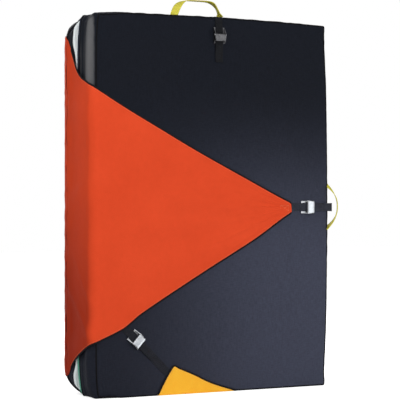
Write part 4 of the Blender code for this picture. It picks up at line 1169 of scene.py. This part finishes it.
def flap_point(p, z):
    """The flap's surface at a path place p from the tip and a height z, with its outward direction."""
    if p <= TURN_START:
        return face_place(FRONT, LEFT + FLAP_REACH - p, z, FLAP_LIFT), -Y
    level = 2 * z / FLOOR_TO_TOP - 1
    if p <= TURN_START + ROLL_LENGTH:
        angle = (p - TURN_START) / ROLL_LENGTH * math.pi / 2
        out = Vector((-math.sin(angle), -math.cos(angle), 0))
        centre = Vector((LEFT - LEAD_OUT + FLAP_TURN + corner_lean(FRONT, -SIDE_START_Y, level), SIDE_START_Y, z))
        return centre + out * (FLAP_TURN + FLAP_LIFT), out
    y = SIDE_START_Y + (p - TURN_START - ROLL_LENGTH)
    x = LEFT + float(np.interp(y, *zip(*FLAP_TAUT)))
    x += corner_lean(FRONT if y < 0 else BACK, abs(y), level)
    return Vector((x - FLAP_LIFT, y, z)), -X


def flap_cloth_point(u, p):
    """A point of the cloth at a share of its height, with its folds."""
    low, high = flap_z("low", p), flap_z("top", p)
    z = low + (high - low) * u
    edge = min(u, 1 - u) * (high - low)
    point, out = flap_point(p, z)
    calm = (0.35 + 0.65 * min(1, edge / 0.03)) * min(1, (FLAP_LENGTH - p) / FOLD_END)
    return point + out * (flap_fold(p, z) * calm)


def folded_surface(p, z):
    """The flap's surface with the folds that its edge has."""
    point, out = flap_point(p, z)
    return point + out * (flap_fold(p, z) * EDGE_FOLD_SHARE * min(1, (FLAP_LENGTH - p) / FOLD_END)), out


def make_flap():
    """The wrap-round closing flap, from its tip across the front, round the edge and along the side."""
    places = [FLAP_LENGTH * even_out(share, 0.3) for share in even_places(0, 1, FLAP_CELLS[1])]
    cloth = laid_cloth(
        "flap_cloth_wrap", FLAP_CELLS[0], places, flap_cloth_point, 0.7,
        (DRESSED_SURFACE, FLAP_LIFT * 0.6), FLAP_CLOTH, Vector((-0.5, -1, 0)), FLAP,
    )
    trims = []
    for name, side in (("top", 1), ("low", -1)):
        def edge(p, name=name):
            return flap_z(name, p)

        span = (0.0, FLAP_LENGTH - 0.0005)
        trims.append(edge_tape(
            f"flap_binding_{name}", folded_surface, edge, span, side, 260, FLAP_CLOTH + TAPE_LIFT, cloth,
        ))
        hem_span = (0.004, FLAP_LENGTH - 0.003)
        line = hem_line(folded_surface, edge, hem_span, side, FLAP_CLOTH + FOLDED_THREAD_SEAT)
        trims.append(stitches(f"flap_hem_{name}", [line], HEM_THREAD))
    heights = np.linspace(flap_z("low", 0), flap_z("top", 0), 9)
    tip = [face_place(FRONT, LEFT + FLAP_REACH + 0.0006, z, FLAP_LIFT) for z in heights]
    trims.append(settle(tube(tip, [X] * 9, BINDING_OUT, CORD_SIDES), "flap_binding_tip", BINDING))
    x, z = LEFT + FLAP_REACH - TIP_SEWING_INSET, FOLD_TIP_HEIGHT - TIP_SEWING_DROP
    near, _, _, _ = surface_tree(cloth).ray_cast(Vector((x, -1, z)), Y)
    near = near or face_place(FRONT, x, z, FLAP_LIFT + FLAP_CLOTH)
    trims.append(stitches("flap_tip_sewing", box_stitch(near, X, Z, -Y, *TIP_SEWING_SIZE), HEM_THREAD))
    for piece in [cloth, *trims]:
        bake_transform(piece)
    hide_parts("flap_side_panel", "flap_front_panel")
    flat_area([flap_z("top", p) - flap_z("low", p) for p in places], places)


def make_sewn_strip():
    """The end of the flap that rolls round the back edge and is sewn to the back face."""
    roll = BACK_EDGE_RADIUS * math.pi / 2
    length = roll + FLAP_SEAM_WIDTH

    def surface(t, z):
        angle = min(t / roll, 1) * math.pi / 2
        out = Vector((-math.cos(angle), math.sin(angle), 0))
        y = SIDE_END_Y + BACK_EDGE_RADIUS * math.sin(angle)
        x = LEFT + WALL_DRAW + BACK_EDGE_RADIUS * (1 - math.cos(angle)) + max(t - roll, 0)
        return snapped(Vector((x, y, z)), out, FLAP_LIFT * min(1, 1.25 - t / length)), out

    def edge(table):
        return lambda t: along_curve(
            table, HALF_DEPTH + SIDE_END_Y + BACK_EDGE_RADIUS * math.sin(min(t / roll, 1) * math.pi / 2),
        )

    top, low = edge(SIDE_TOP), edge(SIDE_LOW)
    places = even_places(0, length, STRIP_CELLS[1])
    cloth = laid_cloth(
        "flap_strip_cloth", STRIP_CELLS[0], places, lambda u, t: surface(t, low(t) + (top(t) - low(t)) * u)[0], 1.0,
        (DRESSED_SURFACE, CLOTH_GAP), FLAP_CLOTH, Vector((-1, 1, 0)), FLAP,
    )
    lift = FLAP_CLOTH + THREAD_SEAT
    seam = [surface(length - 0.004, z) for z in np.linspace(low(length) + 0.006, top(length) - 0.006, 160)]
    lines = [([point + out * lift for point, out in seam], [out for _, out in seam])]
    for fold, side in ((top, 1), (low, -1)):
        lines.append(hem_line(surface, fold, (0.002, length - 0.004), side, lift, 40))
    sewing = stitches("flap_strip_sewing", lines, HEM_THREAD)
    dress(cloth, "back_half", "flap_cloth", "flap_sewn_strip")
    dress(sewing, "back_half", "webbing")
    flat_area([top(t) - low(t) for t in places], places)


make_flap()
make_sewn_strip()


# Yellow anchor flap


def anchor_surface(x, z):
    """The anchor flap's surface at a place from the left edge and a height: it rolls under at its foot."""
    point = face_place(FRONT, LEFT + x, max(z, 0.001), ANCHOR_LIFT)
    under = max(0.0, FRONT_SEAM_RADIUS - z)
    point.y += under**2 / FRONT_SEAM_RADIUS / 2
    point.y -= 0.0012 * bump(x - 0.9 * z, 0.3, 0.012) + 0.001 * bump(x + 0.5 * z, 0.37, 0.014)
    return point, -Y


def anchor_edge(x):
    """Height of the anchor flap's upper edge at a place from the left edge."""
    return along_curve(ANCHOR_TOP, x)


def anchor_cloth_point(u, x):
    """A point of the yellow cloth at a share of its height."""
    return anchor_surface(x, ANCHOR_FOOT + (max(anchor_edge(x), 0.0025) - ANCHOR_FOOT) * u)[0]


def make_anchor_flap():
    """The yellow flap at the foot of the front, which the lower strap is sewn to."""
    span = (ANCHOR_TOP[0][0], ANCHOR_TOP[-1][0])
    places = even_places(*span, ANCHOR_CELLS[1])
    cloth = laid_cloth(
        "anchor_cloth", ANCHOR_CELLS[0], places, anchor_cloth_point, 0.09,
        (DRESSED_SURFACE, CLOTH_GAP), ANCHOR_CLOTH, -Y, ANCHOR,
    )
    tape = edge_tape("anchor_binding", anchor_surface, anchor_edge, span, 1, 160, ANCHOR_CLOTH + TAPE_LIFT, cloth)
    hem_span = (span[0] + 0.006, span[1] - 0.014)
    points, outs = hem_line(anchor_surface, anchor_edge, hem_span, 1, ANCHOR_CLOTH + THREAD_SEAT)
    points = [Vector((p.x, p.y, max(p.z, 0.003))) for p in points]
    trims = [tape, stitches("anchor_hem", [(points, outs)], ANCHOR_THREAD)]
    for piece in (cloth, *trims):
        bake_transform(piece)
    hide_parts("anchor_flap")
    flat_area([anchor_edge(x) - ANCHOR_FOOT for x in places], places)


make_anchor_flap()


# Webbing, buckles and their straps


def bar_loop(reach):
    """Strap centre line round the rear bar, from the anchor side and back: (along, lift) points."""
    rise = BUCKLE_END - BUCKLE_BAR - SEAT_GAP - WEBBING / 2
    return [
        (reach, STRAP_LIFT),
        (BUCKLE_END + STITCH_LENGTH, STRAP_LIFT),
        (BUCKLE_END, STRAP_LIFT),
        (rise, STRAP_LIFT),
        (rise, THREAD_LIFT),
        (BUCKLE_END, THREAD_LIFT),
        (BUCKLE_END + RAMP, STRAP_LIFT + LAYER),
        (BUCKLE_END + STITCH_LENGTH, STRAP_LIFT + LAYER),
    ]


def thread_line(reach_in, tail, start_lift):
    """Webbing centre line through a buckle, from the flap side to its loose tail."""
    return [
        (-reach_in, start_lift),
        (-BUCKLE_END - RAMP, start_lift),
        (-BUCKLE_END - LAYER, THREAD_LIFT),
        (CAM_PLACE, THREAD_LIFT),
        (BUCKLE_END - BUCKLE_BAR - BUCKLE_REAR_SLOT, THREAD_LIFT + LAYER),
        (BUCKLE_END, THREAD_LIFT + LAYER),
        (BUCKLE_END + RAMP, STRAP_LIFT + 2 * LAYER),
        (BUCKLE_END + STITCH_LENGTH, STRAP_LIFT + 2 * LAYER),
        (BUCKLE_END + STITCH_LENGTH + RAMP, STRAP_LIFT + LAYER),
        (tail, STRAP_LIFT + LAYER),
    ]


def on_face(spot, line):
    """Points of a buckle's (along, lift) line on the front face, with steps short enough to follow it."""
    x, z, angle = spot
    points = []
    for (a, low), (b, high) in zip(line, line[1:] + line[-1:]):
        steps = max(1, math.ceil(abs(b - a) / 0.015))
        for step in range(steps):
            along, lift = a + (b - a) * step / steps, low + (high - low) * step / steps
            points.append(face_place(FRONT, x + along * math.cos(angle), z + along * math.sin(angle), lift))
    return points


def strap(name, points, across, body, replaced, over=None):
    """A length of black webbing that stands for its CAD band."""
    line = soften(points)
    piece = ribbon(name, line, [across] * len(line), WEBBING_WIDTH, WEBBING, BLACK_WEBBING, over)
    dress(piece, body, "webbing", replaced)


def sewn(name, lines, body):
    """Black sewing on a strap, which moves with its body."""
    piece = stitches(name, lines, THREAD)
    dress(piece, body, "webbing")
    return piece


def make_side_straps():
    """The strap from the right seam to the side buckle, and the flap's webbing through it."""
    place, height, _ = SIDE_BUCKLE
    lift = CLOTH_LIFT + STRAP_LIFT

    def on_wall(depth, off):
        return stuffed_point(FRONT, LEFT + WALL_TO_WALL, HALF_DEPTH - depth, height, 0) + off

    wall = [on_wall(depth, X * lift) for depth in SIDE_STRAP_DEPTHS]
    wall.append(on_wall(0, (X - Y).normalized() * (lift + OVER_PIPING)))
    loop = on_face(SIDE_BUCKLE, bar_loop(PAD_WIDTH + LEFT - SEAM_TUCK - place))
    strap("side_strap_band", wall + loop, Z, "front_half", "side_buckle_strap", DRESSED_SURFACE)
    tail = PAD_WIDTH + LEFT + TAIL_OVERHANG - place
    line = thread_line(place - LEFT - FLAP_REACH + STITCH_LENGTH, tail, UNDER_FLAP)
    folded = line[-1][1] + LAYER
    points = on_face(SIDE_BUCKLE, line + [(tail, folded), (tail - TAIL_FOLD, folded)])
    for point in points:
        if point.x > -LEFT - SEAM_TUCK:
            point.y = min(point.y, points[0].y - line[-1][1] - PIPING * 0.4)
    strap("flap_tip_band", points, Z, "flap_front", "flap_tip_webbing")
    end = on_wall(0.016, X * (lift + WEBBING / 2 + 0.0004))
    sewn("side_strap_sewing", box_stitch(end, Y, Z, X, 0.008), "front_half")


def make_top_straps():
    """The tab under the top buckle, and the strap from the back half that comes over the top edge."""
    tab = on_face(TOP_BUCKLE, bar_loop(BUCKLE_END + STITCH_LENGTH + WEBBING_WIDTH))
    strap("top_tab_band", tab, X, "front_half", "top_buckle_tab")
    lift = CLOTH_LIFT + WEBBING / 2
    x = TOP_BUCKLE[0]
    block_x = LEFT + (x - LEFT) * WALL_TO_WALL / (WALL_TO_WALL + SIDE_BULGE * 0.02)
    places = [(BACK, depth) for depth in TOP_STRAP_BACK_DEPTHS] + [(FRONT, depth) for depth in TOP_STRAP_FRONT_DEPTHS]
    points = [snapped(stuffed_point(half, block_x, depth, FLOOR_TO_TOP, 0), Z, lift) for half, depth in places]
    corner = stuffed_point(FRONT, x, HALF_DEPTH, FLOOR_TO_TOP, 0)
    points.append(corner + (Z - Y).normalized() * (lift + OVER_PIPING))
    line = thread_line(BUCKLE_END + RAMP, BUCKLE_END + 2 * STITCH_LENGTH, STRAP_LIFT + CLOTH_LIFT)
    points += on_face(TOP_BUCKLE, line)[1:]
    strap("top_strap_band", points, X, "back_half", "top_strap", DRESSED_SURFACE)
    sewn_at = snapped(stuffed_point(BACK, x, 0.05, FLOOR_TO_TOP, 0), Z, lift + WEBBING / 2 + 0.0005)
    sewn("top_strap_sewing", box_stitch(sewn_at, Y, X, Z, SEWN_BOX), "back_half")


def make_lower_straps():
    """The long slanting strap from under the yellow flap, and the flap's webbing through its buckle."""
    angle = LOWER_BUCKLE[2]
    across = Vector((-math.sin(angle), 0, math.cos(angle)))
    loop = on_face(LOWER_BUCKLE, bar_loop(LOWER_STRAP_REACH))
    strap("lower_strap_band", loop, across, "anchor_flap", "lower_strap")
    line = thread_line(BUCKLE_END + STITCH_LENGTH, BUCKLE_END + 2 * STITCH_LENGTH, UNDER_FLAP)
    strap("flap_lower_band", on_face(LOWER_BUCKLE, line), across, "flap_front", "flap_lower_webbing")


make_side_straps()
make_top_straps()
make_lower_straps()
for word in ("side", "top", "lower"):
    # The top buckle's darker metal is painted shade.
    finishes = (SHADED_STEEL, SHADED_STEEL, PIN) if word == "top" else (FRAME_STEEL, STEEL, PIN)
    for part, finish in zip(("frame", "lever", "pin"), finishes):
        coat(bpy.data.objects[f"{word}_buckle_{part}"], finish)


# Handles


def make_handle(name, body, feet, out, rise, squareness, turns):
    """A yellow grab loop between its feet, standing out from the pad."""
    start, end = feet
    points, sides = [], []
    run = end - start
    along = run.normalized()
    across = along.cross(out).normalized()
    for step in range(HANDLE_STEPS + 1):
        share = even_out(step / HANDLE_STEPS, 0.5)
        height = rise * (1 - abs(2 * share - 1) ** squareness)
        angle = math.radians(float(np.interp(share, *zip(*turns))))
        points.append(start + run * share + out * height)
        sides.append(along * math.cos(angle) + across * math.sin(angle))
    handle = ribbon(name + "_band", points, sides, WEBBING_WIDTH, HANDLE_WEBBING, YELLOW_WEBBING)
    dress(handle, body, "handle_webbing", name)


top_lift = Z * (SEAT_GAP + HANDLE_WEBBING / 2)
top_feet = [snapped(Vector((x, y, PAD_HEIGHT)), Z, 0) + top_lift for x, y in TOP_HANDLE_FEET]
make_handle("top_handle", "front_half", top_feet, Z, TOP_HANDLE_RISE, TOP_HANDLE_SQUARENESS, TOP_HANDLE_TURNS)
side_out = Vector((math.cos(SIDE_HANDLE_SPLAY), -math.sin(SIDE_HANDLE_SPLAY), 0))
side_feet = [
    snapped(stuffed_point(FRONT, LEFT + WALL_TO_WALL, HALF_DEPTH - 0.003, z, 0), side_out, 0.0012)
    for z in SIDE_HANDLE_FEET
]
make_handle(
    "side_handle", "side_handle", side_feet, side_out, SIDE_HANDLE_RISE, SIDE_HANDLE_SQUARENESS, SIDE_HANDLE_TURNS,
)


# Hinge cloth on the right


def make_hinge_cloth():
    """The cloth that joins the halves along their right edges, sewn to both walls."""
    def place_at(y, z):
        if abs(y) <= RIM_DEPTH:
            return Vector((HINGE_BRIDGE, y, z))
        wall = snapped(Vector((0.41, y, z)), X, 0.0007)
        share = eased((abs(y) - RIM_DEPTH) / 0.012)
        return Vector((HINGE_BRIDGE + (wall.x - HINGE_BRIDGE) * share, y, z))

    places = even_places(HINGE_FOOT, HINGE_TOP, HINGE_CELLS[1])
    cloth = laid_cloth(
        "hinge_cloth", HINGE_CELLS[0], places, lambda u, z: place_at(HINGE_REACH * (2 * u - 1), z),
        2 * HINGE_REACH, (PAD_SURFACE, HINGE_GAP), HINGE_CLOTH, X, COVER,
    )
    tree = surface_tree(cloth)
    for word, y in (("front", -HINGE_REACH + 0.004), ("back", HINGE_REACH - 0.004)):
        line = []
        for z in np.linspace(HINGE_FOOT + 0.004, HINGE_TOP - 0.004, 140):
            hit, _, _, _ = tree.ray_cast(Vector((0.6, y, z)), -X)
            line.append((hit or place_at(y, z)) + X * THREAD_SEAT)
        sewn(f"hinge_sewing_{word}", [(line, [X] * len(line))], f"{word}_half")
    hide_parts("front_hinge_cloth", "back_hinge_cloth")
    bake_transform(cloth)


make_hinge_cloth()


# Carrying straps on the back


def padded_strip(name, body, node, centre, side, width, depth):
    """A quilted foam strip on the back face, with rounded, bound ends and sewn channels across it."""
    count = len(centre) - 1
    lengths = running(centre)

    def to_end(row):
        return min(lengths[row], lengths[-1] - lengths[row])

    def half_width(row):
        closing = 0
        if to_end(row) < width / 2:
            closing = 1 - math.sqrt(max(0.0, 1 - (1 - min(to_end(row) / (width / 2), 1)) ** 4))
        return width / 2 * (1 - 0.55 * closing)

    pad = box_grid((14, count, 4))
    shaped = []
    for u, v, w in coordinates(pad):
        row = round((v + 0.5) * count)
        across = 2 * u
        from_channel = abs((lengths[row] / QUILT_CHANNEL) % 1 - 0.5) * QUILT_CHANNEL
        quilt = 1 - 0.4 * math.exp(-((from_channel / 0.0035) ** 2))
        plump = (0.34 + 0.66 * math.sqrt(max(0.0, 1 - abs(across) ** 3.2))) * quilt
        plump *= 0.5 + 0.5 * min(to_end(row) / 0.01, 1)
        shaped.append(centre[row] + side * (across * half_width(row)) + Y * (2 * w * depth / 2 * plump))
    set_coordinates(pad, shaped)
    turn_out(pad)
    finish_padded(pad, name, PADDING)
    edge = []
    for hand, rows in ((1, range(count + 1)), (-1, range(count, -1, -1))):
        edge += [centre[row] + side * (hand * half_width(row)) for row in rows]
    edge.append(edge[0])
    edge, outs = spaced(edge, [Y] * len(edge), 0.004)
    binding = settle(tube(edge, outs, STRIP_BINDING, CORD_SIDES, closed=True), name.replace("pad", "binding"), BINDING)
    dress(binding, body, "webbing")
    dress(pad, body, "strap_padding", node)


def make_shoulder_strap(word, hand):
    """One shoulder pad that stands off the back in a bow, with the webbing below it."""
    x_top = hand * SHOULDER_SPACING / 2
    x_low = x_top + hand * SHOULDER_SPREAD
    centre = []
    for share in even_places(0, 1, 80):
        bow = SHOULDER_BOW * math.sin(math.pi * share)
        x, z = x_top + hand * SHOULDER_SPREAD * share, SHOULDER_TOP - share * SHOULDER_LENGTH
        centre.append(face_place(BACK, x, z, SHOULDER_PAD / 2 + CLOTH_LIFT + bow))
    padded_strip(
        f"shoulder_pad_{word}", "back_half", f"shoulder_strap_{word}", centre, X, SHOULDER_WIDTH, SHOULDER_PAD,
    )
    heights = np.linspace(SHOULDER_TOP - SHOULDER_LENGTH - SEAT_GAP, SHOULDER_FOOT, 12)
    tail = [face_place(BACK, x_low, z, CLOTH_LIFT + WEBBING / 2) for z in heights]
    strap(f"strap_band_{word}", tail, X, "back_half", f"strap_webbing_{word}")
    foot = face_place(BACK, x_low, SHOULDER_FOOT + 0.014, CLOTH_LIFT + WEBBING + 0.0003)
    sewn(f"strap_sewing_{word}", box_stitch(foot, Z, X, Y, SEWN_BOX), "back_half")


def make_belt(word, hand):
    """One wing of the waist belt, with the webbing that leads to its buckle."""
    lift = CLOTH_LIFT + BELT_WING / 2
    inwards = even_places(0, BELT_WING_LENGTH, 40)
    centre = [face_place(BACK, hand * (BELT_ROOT - run), BELT_HEIGHT, BELT_WING / 2 + CLOTH_LIFT) for run in inwards]
    padded_strip(f"belt_pad_{word}", f"belt_{word}", f"belt_wing_{word}", centre, Z, BELT_WING_WIDTH, BELT_WING)
    places = np.linspace(BELT_ROOT - BELT_WING_LENGTH + 0.012, BELT_WEBBING_END, 8)
    line = [face_place(BACK, hand * x, BELT_HEIGHT, lift) for x in places]
    strap(f"belt_band_{word}", line, Z, f"belt_{word}", f"belt_webbing_{word}")


for word, hand in (("left", -1), ("right", 1)):
    make_shoulder_strap(word, hand)
    make_belt(word, hand)
for node in ("strap_slider_left", "strap_slider_right", "belt_buckle_plug", "belt_buckle_socket"):
    coat(bpy.data.objects[node], PLASTIC)


# Stage, light and camera


def make_stage():
    """A pale floor, a white surround, soft lamps and the photograph's camera."""
    bpy.ops.object.select_all(action="DESELECT")
    bpy.ops.mesh.primitive_plane_add(size=30, location=(0, 0, 0))
    floor = bpy.context.object
    floor.name = "pale_floor"
    material, tree, _ = start_material("pale_floor", 0.9, Base_Color=(FLOOR_GREY, FLOOR_GREY, FLOOR_GREY, 1))
    seen = put(tree, "LightPath").outputs["Is Camera Ray"]
    glow = put(tree, "Emission", Color=(1, 1, 1, 1), Strength=sums(tree, "MULTIPLY", seen, FLOOR_GLOW))
    both = put(tree, "AddShader", i0=tree.nodes["Principled BSDF"].outputs[0], i1=glow.outputs[0])
    tree.links.new(both.outputs[0], tree.nodes["Material Output"].inputs[0])
    coat(floor, material)
    world = bpy.data.worlds.new("surround")
    world.use_nodes = True
    bpy.context.scene.world = world
    tree = world.node_tree
    path = put(tree, "LightPath").outputs
    shown = sums(tree, "MAXIMUM", path["Is Camera Ray"], path["Is Glossy Ray"])
    background = tree.nodes["Background"].inputs
    tree.links.new(ramp(tree, shown, 0, 1, WORLD_LIGHT, 1, smooth=False), background["Strength"])
    background["Color"].default_value = (1, 1, 1, 1)
    for name, place, target, size, power in LAMPS:
        bpy.ops.object.light_add(type="AREA", location=place)
        lamp = bpy.context.object
        lamp.name = name
        lamp.data.size = size
        lamp.data.energy = power
        lamp.rotation_euler = (Vector(target) - Vector(place)).to_track_quat("-Z", "Y").to_euler()
    along = Vector((math.sin(CAMERA_YAW), math.cos(CAMERA_YAW), 0))
    right = Vector((math.cos(CAMERA_YAW), -math.sin(CAMERA_YAW), 0))
    near_edge = Vector((LEFT, -HALF_DEPTH, CAMERA_HEIGHT))
    bpy.ops.object.camera_add(location=near_edge - along * CAMERA_DISTANCE + right * CAMERA_SIDE_STEP)
    camera = bpy.context.object
    camera.rotation_euler = along.to_track_quat("-Z", "Y").to_euler()
    camera.data.sensor_width = SENSOR_MM
    camera.data.lens = FOCAL_PIXELS / PHOTO_PIXELS * SENSOR_MM
    camera.data.shift_y = (HORIZON_PIXEL - PHOTO_PIXELS / 2) / PHOTO_PIXELS
    bpy.context.scene.camera = camera
    bpy.context.scene.view_settings.view_transform = "Standard"


make_stage()
